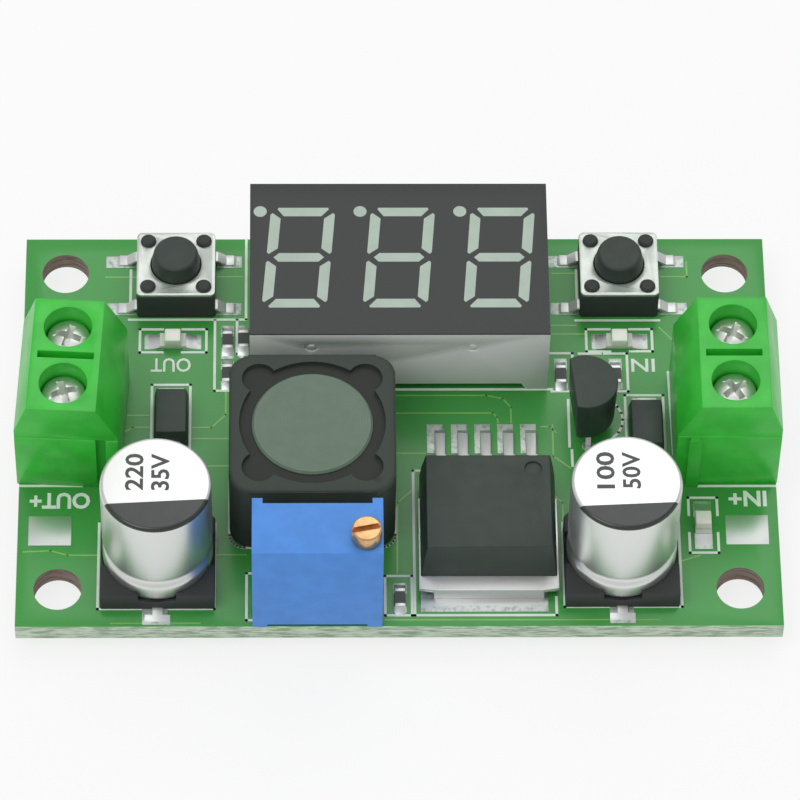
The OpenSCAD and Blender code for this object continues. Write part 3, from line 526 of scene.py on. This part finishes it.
class Form:
    """A mesh being modelled, in millimetres in the row's frame."""

    def __init__(self) -> None:
        """Starts empty."""
        self.mesh = bmesh.new()

    @classmethod
    def of_nodes(cls, shop: "Shop", *nodes: str) -> "Form":
        """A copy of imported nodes, with flat faces whole again.

        Args:
            shop: Where the nodes are.
            nodes: Their names.

        Returns:
            The copy.
        """
        form = cls()
        for node in nodes:
            form.mesh.from_mesh(shop.nodes[node].data)
        bmesh.ops.scale(form.mesh, vec=(1 / MM,) * 3, verts=form.mesh.verts)
        bmesh.ops.remove_doubles(form.mesh, verts=form.mesh.verts, dist=0.0015)
        bmesh.ops.dissolve_limit(
            form.mesh, angle_limit=math.radians(0.6), verts=form.mesh.verts, edges=form.mesh.edges
        )
        return form

    def block(self, low: Place, high: Place) -> "Form":
        """Adds a block.

        Args:
            low: Its lowest corner.
            high: Its highest corner.

        Returns:
            The form.
        """
        middle = (Vector(low) + Vector(high)) / 2
        size = Vector(high) - Vector(low)
        place = Matrix.Translation(middle) @ Matrix.Diagonal((*size, 1))
        bmesh.ops.create_cube(self.mesh, size=1, matrix=place)
        return self

    def strokes(
        self, paths: Iterable[Sequence[Point]], width: float, low: float, high: float
    ) -> "Form":
        """Adds flat lines along paths.

        Args:
            paths: The points of each line.
            width: How wide the lines are.
            low: Height of their undersides.
            high: Height of their tops.

        Returns:
            The form.
        """
        for path in paths:
            for start, end in zip(path, path[1:]):
                run = Vector(end) - Vector(start)
                middle = (Vector(start) + Vector(end)) / 2
                place = (
                    Matrix.Translation((*middle, (low + high) / 2))
                    @ Matrix.Rotation(math.atan2(run.y, run.x), 4, "Z")
                    @ Matrix.Diagonal((run.length + width, width, high - low, 1))
                )
                bmesh.ops.create_cube(self.mesh, size=1, matrix=place)
        return self

    def lettering(
        self, text: str, centre: Point, size: Point, turn: float, low: float, high: float,
        bold: float = 0.0,
    ) -> "Form":
        """Adds raised letters that fill a rectangle.

        Args:
            text: What they say.
            centre: The rectangle's middle.
            size: Its width and height before it is turned.
            turn: Degrees anticlockwise.
            low: Height of the letters' undersides.
            high: Height of their tops.
            bold: How far the strokes are widened.

        Returns:
            The form.
        """
        curve = bpy.data.curves.new("letters", "FONT")
        curve.body = text
        curve.extrude = 0.5
        curve.offset = bold
        curve.resolution_u = 3
        carrier = bpy.data.objects.new("letters", curve)
        bpy.context.scene.collection.objects.link(carrier)
        bpy.context.view_layer.update()
        solved = carrier.evaluated_get(bpy.context.evaluated_depsgraph_get())
        flat = bpy.data.meshes.new_from_object(solved)
        xs = [v.co.x for v in flat.vertices]
        ys = [v.co.y for v in flat.vertices]
        shift = Matrix.Translation((-(min(xs) + max(xs)) / 2, -(min(ys) + max(ys)) / 2, 0.5))
        fit = Matrix.Diagonal(
            (size[0] / (max(xs) - min(xs)), size[1] / (max(ys) - min(ys)), high - low, 1)
        )
        place = Matrix.Translation((*centre, low)) @ Matrix.Rotation(math.radians(turn), 4, "Z")
        flat.transform(place @ fit @ shift)
        self.mesh.from_mesh(flat)
        bpy.data.objects.remove(carrier)
        bpy.data.curves.remove(curve)
        bpy.data.meshes.remove(flat)
        return self

    def soften(
        self, width: float, angle: float = 30.0, steps: int = 2,
        where: Optional[Callable[[Vector], bool]] = None,
    ) -> "Form":
        """Rounds its sharp edges.

        Args:
            width: Width of the rounding.
            angle: The least turn, in degrees, between two faces at a sharp edge.
            steps: Facets across the rounding.
            where: Tells from an edge's middle whether it is rounded.

        Returns:
            The form.
        """
        least = math.radians(angle)
        sharp = [
            edge for edge in self.mesh.edges
            if len(edge.link_faces) == 2 and edge.calc_face_angle(0.0) > least
            and (where is None or where((edge.verts[0].co + edge.verts[1].co) / 2))
        ]
        bmesh.ops.bevel(
            self.mesh, geom=sharp, offset=width, offset_type="OFFSET", segments=steps,
            profile=0.5, affect="EDGES", clamp_overlap=True, material=-1,
        )
        return self

    def paint(self, choose: Callable[[bmesh.types.BMFace], int]) -> "Form":
        """Gives each face the number of its finish."""
        for face in self.mesh.faces:
            face.material_index = choose(face)
        return self


@dataclass
class Shop:
    """Where pieces are made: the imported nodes, and the way onto their bodies."""

    nodes: dict[str, bpy.types.Object]
    bodies: dict[str, str]
    slots: dict[str, str]
    made: int = 0

    def dress(self, coat: Coat, *nodes: str) -> None:
        """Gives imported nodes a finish.

        Args:
            coat: The finish.
            nodes: Their names.
        """
        for node in nodes:
            mesh = self.nodes[node].data
            mesh.materials.clear()
            mesh.materials.append(coat.value.material())
            LOG.info("node %s: %s", node, coat.value.name)

    def piece(
        self, name: str, form: Form, *coats: Coat, body: str = "root", slot: str = "",
        replaces: Sequence[str] = (), smooth: float = 32.0, outward: bool = False,
    ) -> bpy.types.Object:
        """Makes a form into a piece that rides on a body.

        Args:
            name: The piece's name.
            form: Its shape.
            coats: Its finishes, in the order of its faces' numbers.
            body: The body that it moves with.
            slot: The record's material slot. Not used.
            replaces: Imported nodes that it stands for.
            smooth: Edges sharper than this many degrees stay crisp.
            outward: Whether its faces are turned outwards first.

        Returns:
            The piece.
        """
        if outward:
            bmesh.ops.recalc_face_normals(form.mesh, faces=form.mesh.faces)
        bmesh.ops.scale(form.mesh, vec=(MM,) * 3, verts=form.mesh.verts)
        mesh = bpy.data.meshes.new(name)
        form.mesh.to_mesh(mesh)
        form.mesh.free()
        for coat in coats:
            mesh.materials.append(coat.value.material())
        mesh.shade_smooth()
        mesh.set_sharp_from_angle(angle=math.radians(smooth))
        made = bpy.data.objects.new(name, mesh)
        bpy.context.scene.collection.objects.link(made)
        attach(made, body)
        if replaces:
            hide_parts(*replaces)
        self.made += 1
        LOG.info("piece %s on %s: %d faces", name, body, len(mesh.polygons))
        return made

    def soft_copy(
        self, node: str, coat: Coat, width: float, angle: float = 30.0, steps: int = 2,
        where: Optional[Callable[[Vector], bool]] = None,
    ) -> bpy.types.Object:
        """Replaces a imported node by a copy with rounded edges.

        Args:
            node: The node's name.
            coat: Its finish.
            width: Width of the rounding.
            angle: The least turn, in degrees, between two faces at a sharp edge.
            steps: Facets across the rounding.
            where: Tells from an edge's middle whether it is rounded.

        Returns:
            The piece.
        """
        form = Form.of_nodes(self, node).soften(width, angle, steps, where)
        return self.piece(f"{node}_dressed", form, coat, body=self.bodies[node], replaces=[node])


# ---- Sub-assemblies --------------------------------------------------------------------------


@dataclass
class Board:
    """The board with its lacquer, bare gaps between the copper areas, ink and pads."""

    half_x: float = 28.5
    half_y: float = 17.7
    ink_width: float = 0.2
    gap_width: float = 0.13
    ink: tuple[tuple[Point, ...], ...] = (
        ((-11.5, 17.6), (-11.5, 10.1)),
        ((-12.18, 10.1), (-12.18, 6.85), (-11.5, 6.3), (-11.5, 3.55), (11.8, 3.55)),
        ((-20.38, 14.7), (-20.38, 11.4)), ((-20.45, 10.06), (-11.5, 10.06)),
        ((13.95, 14.7), (13.95, 11.6)), ((13.8, 9.96), (20.2, 9.96)),
        ((-28.4, -5.2), (-23.8, -5.2)), ((-22.55, 4.4), (-22.55, -5.0)),
        ((20.72, 5.1), (20.85, -2.4)), ((22.64, -5.3), (28.4, -5.3)),
        ((-10.87, -13.04), (-11.36, -13.04), (-11.36, -17.15), (-10.87, -17.15)),
        ((-13.87, 10.0), (-13.87, 3.45), (-12.8, 3.45)),
        ((11.8, 6.88), (13.45, 6.88)), ((11.8, 3.36), (13.4, 3.36)), ((13.45, 6.88), (13.45, 6.4)),
        ((13.97, 6.85), (15.6, 6.85)), ((15.9, 6.85), (17.62, 6.85), (17.62, 3.35), (16.75, 3.35)),
        ((-1.06, -13.3), (0.93, -13.3), (0.93, -16.75), (-1.06, -16.75), (-1.06, -13.3)),
        ((1.66, -3.88), (1.14, -3.88), (1.14, -16.75), (11.66, -16.75), (11.66, -15.2)),
        ((11.6, -3.75), (11.68, -5.6)),
        ((-17.87, 9.15), (-19.6, 9.15), (-19.6, 7.01), (-17.88, 7.01)),
        ((-16.34, 9.15), (-14.52, 9.15), (-14.52, 7.01), (-16.36, 7.01)),
        ((16.36, 9.12), (14.56, 9.12), (14.56, 7.05), (16.36, 7.05)),
        ((17.9, 9.12), (19.6, 9.12), (19.6, 7.06), (17.9, 7.06)),
        ((21.8, -7.9), (21.8, -6.36), (23.95, -6.36), (23.95, -7.9)),
        ((21.78, -9.54), (21.78, -11.27), (23.93, -11.27), (23.93, -9.54)),
        ((-22.4, -8.6), (-22.4, -16.15), (-19.1, -16.15)),
        ((-13.74, -8.6), (-13.74, -16.15), (-17.2, -16.15)),
        ((21.0, -8.6), (21.0, -16.03), (17.45, -16.03)),
        ((12.28, -8.6), (12.28, -16.03), (15.6, -16.03)),
        ((-18.62, -3.2), (-18.62, 4.0), (-15.7, 4.0), (-15.7, -3.2)),
        ((17.35, -4.4), (17.35, 2.98), (20.25, 2.98), (20.25, -4.4)),
        ((13.02, 2.55), (13.02, -1.7)), ((13.18, -2.05), (13.2, -3.45)),
    )
    gaps: tuple[tuple[Point, ...], ...] = (
        ((-22.3, 14.08), (-19.9, 14.08)), ((-13.7, 14.11), (-11.8, 14.11)),
        ((-20.4, 1.2), (-18.75, 1.2)),
        ((-20.86, -0.48), (-20.03, 0.11), (-18.75, 0.11)),
        ((-15.5, 0.09), (-14.06, 0.09), (-13.0, 1.26), (-13.0, 3.3)),
        ((-15.5, -0.93), (-12.8, -0.93)), ((-14.3, -3.42), (-12.8, -3.42)),
        ((-28.0, -11.1), (-26.0, -11.0), (-24.73, -11.4), (-22.5, -11.4)),
        ((-13.6, -11.38), (-11.4, -11.38)),
        ((-21.4, -17.4), (-14.8, -17.4)), ((-1.1, -17.14), (19.3, -17.16)),
        ((12.1, 14.39), (13.8, 14.39)), ((20.5, 14.08), (22.5, 14.08), (22.5, 15.5)),
        ((11.95, 9.5), (13.8, 9.5)), ((11.95, 8.68), (14.4, 8.68)), ((20.2, 9.3), (21.1, 8.2)),
        ((-0.1, 1.38), (7.26, 1.38), (7.57, 1.0), (7.65, 0.5)),
        ((-0.1, 3.0), (6.8, 3.0), (8.05, 2.7), (8.64, 1.9), (8.64, 0.5)),
        ((-1.0, -2.3), (2.1, -2.3)),
        ((1.1, -5.6), (-0.06, -6.76), (-0.13, -12.96)),
        ((11.77, 0.3), (11.77, -2.58), (13.05, -3.64)),
        ((11.8, -6.18), (12.35, -6.78), (12.35, -8.4)),
        ((21.1, -12.0), (22.5, -11.5)),
        ((10.9, 0.13), (11.55, 0.12), (12.0, -0.4)),
    )
    pads: tuple[tuple[float, float, float, float], ...] = (
        (-22.3, 14.95, -19.9, 16.03), (-13.8, 14.95, -11.83, 16.03),
        (-22.3, 10.5, -19.9, 11.6), (-13.8, 10.5, -11.85, 11.6),
        (11.7, 14.95, 14.1, 16.03), (20.1, 14.95, 22.3, 16.03),
        (11.9, 10.5, 14.1, 11.6), (20.1, 10.5, 22.4, 11.6),
        (-19.25, 7.28, -17.85, 8.66), (-16.3, 7.28, -14.9, 8.66),
        (14.95, 7.28, 16.3, 8.66), (17.85, 7.28, 19.25, 8.66),
        (22.15, -10.95, 23.5, -9.5), (22.15, -8.1, 23.5, -6.7),
        (-19.1, -17.53, -17.2, -15.2), (15.6, -17.46, 17.42, -15.2),
        (-18.1, -3.4, -16.2, -1.9), (-18.1, 2.3, -16.2, 3.7),
        (17.85, -4.3, 19.75, -2.9), (17.85, 1.4, 19.75, 2.75),
        (1.58, -16.45, 11.0, -14.3),
        (-13.4, 8.45, -12.4, 9.5), (-13.4, 6.4, -12.4, 7.45), (-13.4, 5.4, -12.4, 6.2),
        (-13.4, 3.55, -12.4, 4.35), (-12.1, 8.45, -11.55, 9.5),
        (12.02, 5.3, 13.02, 6.4), (12.02, 3.55, 13.02, 4.2),
        (16.2, 5.3, 17.2, 6.4), (16.2, 3.55, 17.2, 4.2),
        (-0.46, -14.85, 0.54, -13.9), (-0.46, -16.5, 0.54, -15.95),
    )
    lead_pads: tuple[float, ...] = (2.82, 4.65, 6.42, 8.16, 9.9)
    lead_pad_half: float = 0.6
    lead_pad_ends: tuple[float, float] = (-2.31, 0.34)
    words: tuple[tuple[str, Point, Point, float], ...] = (
        ("OUT", (-17.22, 5.83), (3.05, 1.27), 0.012),
        ("IN", (18.83, 5.76), (1.8, 1.21), 0.012),
        ("OUT+", (-25.39, -6.55), (4.53, 1.44), 0.03),
        ("IN+", (26.28, -6.44), (2.87, 1.4), 0.03),
    )
    arc_centre: Point = (14.4, 0.75)
    arc_radii: Point = (2.72, 2.35)
    corner_run: float = 5.1
    corner_radius: float = 1.1
    corner_ends: Point = (6.2, 3.06)
    sunk: float = 0.01
    gap_height: float = 0.012
    ink_height: float = 0.03
    pad_height: float = 0.035
    pad_round: float = 0.03
    edge_round: float = 0.05

    def laminate(self, shop: Shop) -> None:
        """Makes the board itself: lacquered faces, cut edges and drilled holes.

        Args:
            shop: Where pieces are made.
        """

        def at_rim(point: Vector, reach: float) -> bool:
            """Tells whether a point is within reach of the board's outline."""
            return abs(point.x) > self.half_x - reach or abs(point.y) > self.half_y - reach

        def finish_of(face: bmesh.types.BMFace) -> int:
            """Tells lacquer, cut edge and bore apart."""
            if abs(face.normal.z) > 0.5:
                return 0
            return 1 if at_rim(face.calc_center_median(), 0.2) else 2

        form = Form.of_nodes(shop, "circuit_board")
        form.soften(self.edge_round, where=lambda point: at_rim(point, 0.05)).paint(finish_of)
        shop.piece(
            "board", form, Coat.MASK, Coat.EDGE, Coat.BORE, replaces=["circuit_board"], smooth=40
        )

    def curves(self) -> list[list[Point]]:
        """The ink's curved lines.

        Returns:
            The arc round the small regulator, and the line round the inductor.
        """
        x, y = self.arc_centre
        wide, deep = self.arc_radii
        arc = [
            (x + wide * math.cos(turn), y + deep * math.sin(turn))
            for turn in map(math.radians, range(-45, 61, 15))
        ]
        x, y = INDUCTOR_AT
        run, radius = self.corner_run, self.corner_radius
        corners = [
            (x + side * (run + radius * math.cos(turn)), y - (run + radius * math.sin(turn)))
            for side, turns in ((1, range(0, 91, 15)), (-1, range(90, -1, -15)))
            for turn in map(math.radians, turns)
        ]
        out, up = self.corner_ends
        return [arc, [(x + out, y + up), *corners, (x - out, y + up)]]

    def markings(self, shop: Shop) -> None:
        """Makes the gaps between copper areas, the pads and the ink.

        Args:
            shop: Where pieces are made.
        """
        low = BOARD_TOP - self.sunk
        gaps = Form().strokes(self.gaps, self.gap_width, low, BOARD_TOP + self.gap_height)
        shop.piece("mask_gaps", gaps, Coat.MASK_GAP, slot="solder_mask")
        front, back = self.lead_pad_ends
        leads = tuple(
            (x - self.lead_pad_half, front, x + self.lead_pad_half, back) for x in self.lead_pads
        )
        pads = Form()
        for x0, y0, x1, y1 in self.pads + leads:
            pads.block((x0, y0, low), (x1, y1, BOARD_TOP + self.pad_height))
        shop.piece("pads", pads.soften(self.pad_round), Coat.PAD, slot="solder")
        high = BOARD_TOP + self.ink_height
        ink = Form().strokes([*self.ink, *self.curves()], self.ink_width, low, high)
        for text, centre, size, bold in self.words:
            ink.lettering(text, centre, size, 180, low, high, bold)
        shop.piece("ink", ink, Coat.INK, slot="solder_mask")

    def build(self, shop: Shop) -> None:
        """Makes the whole board."""
        self.laminate(shop)
        self.markings(shop)


@dataclass
class Display:
    """The three-digit display."""

    case_round: float = 0.12
    face_round: float = 0.04

    def build(self, shop: Shop) -> None:
        """Dresses the case, face, bars and what lies inside.

        Args:
            shop: Where pieces are made.
        """
        shop.soft_copy("display_case", Coat.SHELL, self.case_round)
        shop.soft_copy("display_face", Coat.FILM, self.face_round)
        shop.dress(Coat.DIFFUSER, "display_segments")
        shop.dress(Coat.INNER_BOARD, "display_board")
        shop.dress(Coat.TIN, "display_pins", "controller_leads")
        shop.dress(Coat.EPOXY, "controller_chip")


@dataclass
class PushSwitch:
    """One push switch."""

    side: str
    base_round: float = 0.08
    cover_round: float = 0.06
    fine_round: float = 0.04

    def build(self, shop: Shop) -> None:
        """Dresses the base, cover, button, dome and contacts.

        Args:
            shop: Where pieces are made.
        """
        shop.soft_copy(f"{self.side}_switch_base", Coat.BLACK, self.base_round)
        shop.soft_copy(f"{self.side}_switch_cover", Coat.SHEET, self.cover_round)
        shop.soft_copy(f"{self.side}_switch_button", Coat.BUTTON, self.fine_round)
        shop.soft_copy(f"{self.side}_switch_contacts", Coat.TIN, self.fine_round)
        shop.dress(Coat.SPRING, f"{self.side}_switch_dome")


@dataclass
class WireTerminal:
    """One two-pole screw terminal."""

    end: str
    housing_round: float = 0.1
    screw_round: float = 0.05
    clamp_round: float = 0.08

    def build(self, shop: Shop) -> None:
        """Dresses the housing, contacts, screws and clamps.

        Args:
            shop: Where pieces are made.
        """
        shop.soft_copy(f"{self.end}_terminal_housing", Coat.GREEN, self.housing_round)
        shop.dress(Coat.TIN, f"{self.end}_terminal_contacts")
        for pole in ("plus", "minus"):
            shop.soft_copy(f"{self.end}_{pole}_screw", Coat.SCREW, self.screw_round)
            shop.soft_copy(f"{self.end}_{pole}_clamp", Coat.CLAMP, self.clamp_round)


@dataclass
class Inductor:
    """The shielded power inductor."""

    centre: Point = INDUCTOR_AT
    top: float = BOARD_TOP + 7.6
    half: float = 6.2
    pocket_reach: float = 5.6
    shield_round: float = 0.45
    base_round: float = 0.1
    clip_round: float = 0.05

    def build(self, shop: Shop) -> None:
        """Dresses the shield, core, glue, winding, base and clips.

        Args:
            shop: Where pieces are made.
        """

        def outer(point: Vector) -> bool:
            """Tells whether an edge's middle is on the outer rim of the shield's top."""
            dx, dy = abs(point.x - self.centre[0]), abs(point.y - self.centre[1])
            at_side = max(dx, dy) > self.half - 0.75
            return at_side and point.z > self.top - 0.1 and math.hypot(dx, dy) > self.pocket_reach

        shop.soft_copy("inductor_shield", Coat.FERRITE, self.shield_round, steps=4, where=outer)
        shop.dress(Coat.CORE, "inductor_core")
        shop.dress(Coat.GLUE, "inductor_glue")
        shop.dress(Coat.WIRE, "inductor_winding")
        shop.soft_copy("inductor_base", Coat.BLACK, self.base_round)
        shop.soft_copy("inductor_clips", Coat.TIN, self.clip_round)


@dataclass
class Trimmer:
    """The multi-turn trimmer."""

    housing_round: float = 0.12
    screw_round: float = 0.04

    def build(self, shop: Shop) -> None:
        """Dresses the housing, screw, rotor, element and pins.

        Args:
            shop: Where pieces are made.
        """
        shop.soft_copy("trimmer_housing", Coat.BLUE, self.housing_round)
        shop.soft_copy("trimmer_screw", Coat.BRASS, self.screw_round)
        shop.dress(Coat.NYLON, "trimmer_rotor")
        shop.dress(Coat.CERAMIC, "trimmer_element")
        shop.dress(Coat.TIN, "trimmer_pins")


@dataclass
class Regulator:
    """The five-lead power regulator."""

    body_round: float = 0.14
    tab_round: float = 0.06
    lead_round: float = 0.05

    def build(self, shop: Shop) -> None:
        """Dresses the body, tab and leads.

        Args:
            shop: Where pieces are made.
        """
        shop.soft_copy("regulator_body", Coat.EPOXY, self.body_round)
        shop.soft_copy("regulator_tab", Coat.TIN, self.tab_round)
        shop.soft_copy("regulator_leads", Coat.TIN, self.lead_round)


@dataclass
class Capacitor:
    """One can capacitor."""

    end: str
    centre: Point
    chord: tuple[Point, Point]
    rating: tuple[str, str]
    top: float = BOARD_TOP + 10.5
    mark_depth: float = 0.3
    rows: tuple[float, float] = (-1.55, 0.35)
    row_y: float = 1.0
    row_size: Point = (3.2, 1.35)
    print_bold: float = 0.02
    print_sunk: float = 0.005
    print_height: float = 0.012
    base_round: float = 0.1

    def shell(self, shop: Shop) -> None:
        """Makes the can, with a dark mark on one side of a chord across its top.

        Args:
            shop: Where pieces are made.
        """
        start, end = (Vector((*point, 0)) for point in self.chord)
        run = (end - start).normalized()
        across = Vector((run.y, -run.x, 0))
        form = Form.of_nodes(shop, f"{self.end}_capacitor_can")
        whole = [*form.mesh.verts, *form.mesh.edges, *form.mesh.faces]
        bmesh.ops.bisect_plane(
            form.mesh, geom=whole, plane_co=start, plane_no=across, dist=1e-4
        )

        def dark(face: bmesh.types.BMFace) -> int:
            """Tells whether a face is in the mark."""
            middle = face.calc_center_median()
            return int(middle.z > self.top - self.mark_depth and (middle - start).dot(across) > 0)

        shop.piece(
            f"{self.end}_capacitor_shell", form.paint(dark), Coat.CAN, Coat.CAN_PRINT,
            replaces=[f"{self.end}_capacitor_can"], smooth=50,
        )

    def build(self, shop: Shop) -> None:
        """Makes the can, its rating and its base.

        Args:
            shop: Where pieces are made.
        """
        self.shell(shop)
        letters = Form()
        x, y = self.centre
        low, high = self.top - self.print_sunk, self.top + self.print_height
        for text, row in zip(self.rating, self.rows):
            place = (x + row, y + self.row_y)
            letters.lettering(text, place, self.row_size, 90, low, high, self.print_bold)
        shop.piece(f"{self.end}_capacitor_rating", letters, Coat.CAN_PRINT, slot="aluminium_can")
        shop.soft_copy(f"{self.end}_capacitor_base", Coat.BLACK, self.base_round)


@dataclass
class SmallParts:
    """Diodes, resistors, lamps and the small regulator."""

    regulator_round: float = 0.1
    diode_round: float = 0.08
    lens_round: float = 0.06
    fine_round: float = 0.04
    lead_round: float = 0.03

    def build(self, shop: Shop) -> None:
        """Dresses them all.

        Args:
            shop: Where pieces are made.
        """
        shop.soft_copy("small_regulator_body", Coat.EPOXY, self.regulator_round)
        shop.dress(Coat.TIN, "small_regulator_leads")
        shop.soft_copy("diode_bodies", Coat.EPOXY, self.diode_round)
        shop.soft_copy("diode_leads", Coat.TIN, self.fine_round)
        shop.dress(Coat.GLAZE, "resistor_bodies")
        shop.soft_copy("resistor_ends", Coat.TIN, self.fine_round)
        shop.soft_copy("led_bases", Coat.LAMP, self.fine_round)
        shop.soft_copy("led_lenses", Coat.LENS, self.lens_round)
        shop.soft_copy("capacitor_leads", Coat.TIN, self.lead_round)


@dataclass
class Joints:
    """The solder."""

    edge_round: float = 0.05
    edge_angle: float = 40.0

    def build(self, shop: Shop) -> None:
        """Rounds the wedges and cones.

        Args:
            shop: Where pieces are made.
        """
        form = Form.of_nodes(shop, "solder_joints").soften(self.edge_round, self.edge_angle)
        shop.piece("solder", form, Coat.SOLDER, replaces=["solder_joints"], smooth=60)


# ---- Studio ----------------------------------------------------------------------------------


@dataclass(frozen=True)
class Lamp:
    """A square soft lamp that faces the module.

    Attributes:
        name: Its name.
        place: Where it hangs, in metres.
        size: Its side, in metres.
        power: Its power in watts.
    """

    name: str
    place: Place
    size: float
    power: float

    def hang(self) -> None:
        """Hangs it in the scene."""
        light = bpy.data.lights.new(self.name, "AREA")
        light.size = self.size
        light.energy = self.power
        holder = bpy.data.objects.new(self.name, light)
        holder.location = self.place
        holder.rotation_euler = Vector(self.place).to_track_quat("Z", "Y").to_euler()
        bpy.context.scene.collection.objects.link(holder)


@dataclass
class Studio:
    """Camera, lamps, sky and floor."""

    elevation: float = 55.649
    azimuth: float = -1.786
    roll: float = 1.405
    distance: float = 440.95
    target: Place = (0.2337, 2.592, BOARD_TOP)
    lens: float = 261.03
    sensor: float = 36.0
    sight: tuple[float, float] = (0.01, 20.0)
    sky_strength: float = 0.75
    floor_half: float = 3.0
    floor_colour: Colour = (0.86, 0.87, 0.86)
    floor_glow: float = 0.8
    lamps: tuple[Lamp, ...] = (
        Lamp("key", (-0.25, -0.2, 0.6), 0.35, 1.1),
        Lamp("top", (0.1, 0.35, 0.6), 0.5, 1.0),
    )

    def camera(self) -> None:
        """Stands the camera at its angle and makes it the scene's."""
        e, a, r = (math.radians(v) for v in (self.elevation, self.azimuth, self.roll))
        back = Vector((math.sin(a) * math.cos(e), -math.cos(a) * math.cos(e), math.sin(e)))
        right = (-back).cross(Vector((0, 0, 1))).normalized()
        up = right.cross(-back)
        right, up = right * math.cos(r) + up * math.sin(r), up * math.cos(r) - right * math.sin(r)
        view = bpy.data.cameras.new("camera")
        view.lens = self.lens
        view.sensor_width = self.sensor
        view.clip_start, view.clip_end = self.sight
        stand = bpy.data.objects.new("camera", view)
        place = Matrix.Translation((Vector(self.target) + back * self.distance) * MM)
        stand.matrix_world = place @ Matrix((right, up, back)).transposed().to_4x4()
        bpy.context.scene.collection.objects.link(stand)
        bpy.context.scene.camera = stand

    def sky(self) -> None:
        """Surrounds the scene with even light that is brighter to a direct look."""
        graph = Graph(bpy.data.worlds.new("studio"))
        path = graph.node("ShaderNodeLightPath")
        seen = Value(graph, path.outputs["Is Camera Ray"]).most(
            Value(graph, path.outputs["Is Transmission Ray"])
        )
        amount = seen * (1 - self.sky_strength) + self.sky_strength
        light = graph.node("ShaderNodeBackground", values={"Strength": amount})
        bpy.context.scene.world = graph.close(light, "ShaderNodeOutputWorld")

    def floor(self, level: float) -> None:
        """Lays a pale floor, near white where the camera sees it unshaded.

        Args:
            level: Its height in metres.
        """
        form = Form()
        bmesh.ops.create_grid(form.mesh, x_segments=1, y_segments=1, size=self.floor_half)
        bmesh.ops.translate(form.mesh, verts=form.mesh.verts, vec=(0, 0, level))
        mesh = bpy.data.meshes.new("floor")
        form.mesh.to_mesh(mesh)
        form.mesh.free()
        graph = Graph(bpy.data.materials.new("pale_floor"))
        path = graph.node("ShaderNodeLightPath")
        seen = Value(graph, path.outputs["Is Camera Ray"]).most(
            Value(graph, path.outputs["Is Glossy Ray"])
        ).most(Value(graph, path.outputs["Is Transmission Ray"]))
        matt = graph.node("ShaderNodeBsdfDiffuse", values={"Color": self.floor_colour})
        glow = graph.node("ShaderNodeEmission", values={"Color": (1.0, 1.0, 1.0), "Strength": 1.0})
        both = graph.node(
            "ShaderNodeMixShader",
            values={0: seen * self.floor_glow, 1: matt.outputs[0], 2: glow.outputs[0]},
        )
        mesh.materials.append(graph.close(both))
        ground = bpy.data.objects.new("floor", mesh)
        bpy.context.scene.collection.objects.link(ground)
        ground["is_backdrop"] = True

    def build(self, level: float) -> None:
        """Sets the whole studio up.

        Args:
            level: The floor's height in metres.
        """
        self.camera()
        self.sky()
        for lamp in self.lamps:
            lamp.hang()
        self.floor(level)
        bpy.context.scene.view_settings.view_transform = "Standard"


def main() -> None:
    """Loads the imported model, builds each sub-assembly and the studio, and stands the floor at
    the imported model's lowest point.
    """
    logging.basicConfig(level=logging.INFO, format="%(message)s")
    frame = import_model()
    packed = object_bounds()
    record = frame["record"]
    bodies = {
        node: body for body, nodes in record["behaviour"]["bodies"].items() for node in nodes
    }
    slots = {part["node"]: part["material_slot"] for part in record["subparts"]}
    shop = Shop(frame["nodes"], bodies, slots)
    assemblies = [
        Board(),
        Display(),
        PushSwitch("left"),
        PushSwitch("right"),
        WireTerminal("out"),
        WireTerminal("in"),
        Inductor(),
        Trimmer(),
        Regulator(),
        Capacitor("out", (-17.95, -11.93), ((-21.46, -13.7), (-14.26, -13.3)), ("220", "35V")),
        Capacitor("in", (16.55, -11.83), ((13.34, -13.94), (20.17, -13.62)), ("100", "50V")),
        SmallParts(),
        Joints(),
    ]
    for assembly in assemblies:
        assembly.build(shop)
        LOG.info("built %s", type(assembly).__name__)
    Studio().build(packed[0][2])
    LOG.info("%d pieces made", shop.made)


if __name__ == "__main__":
    main()
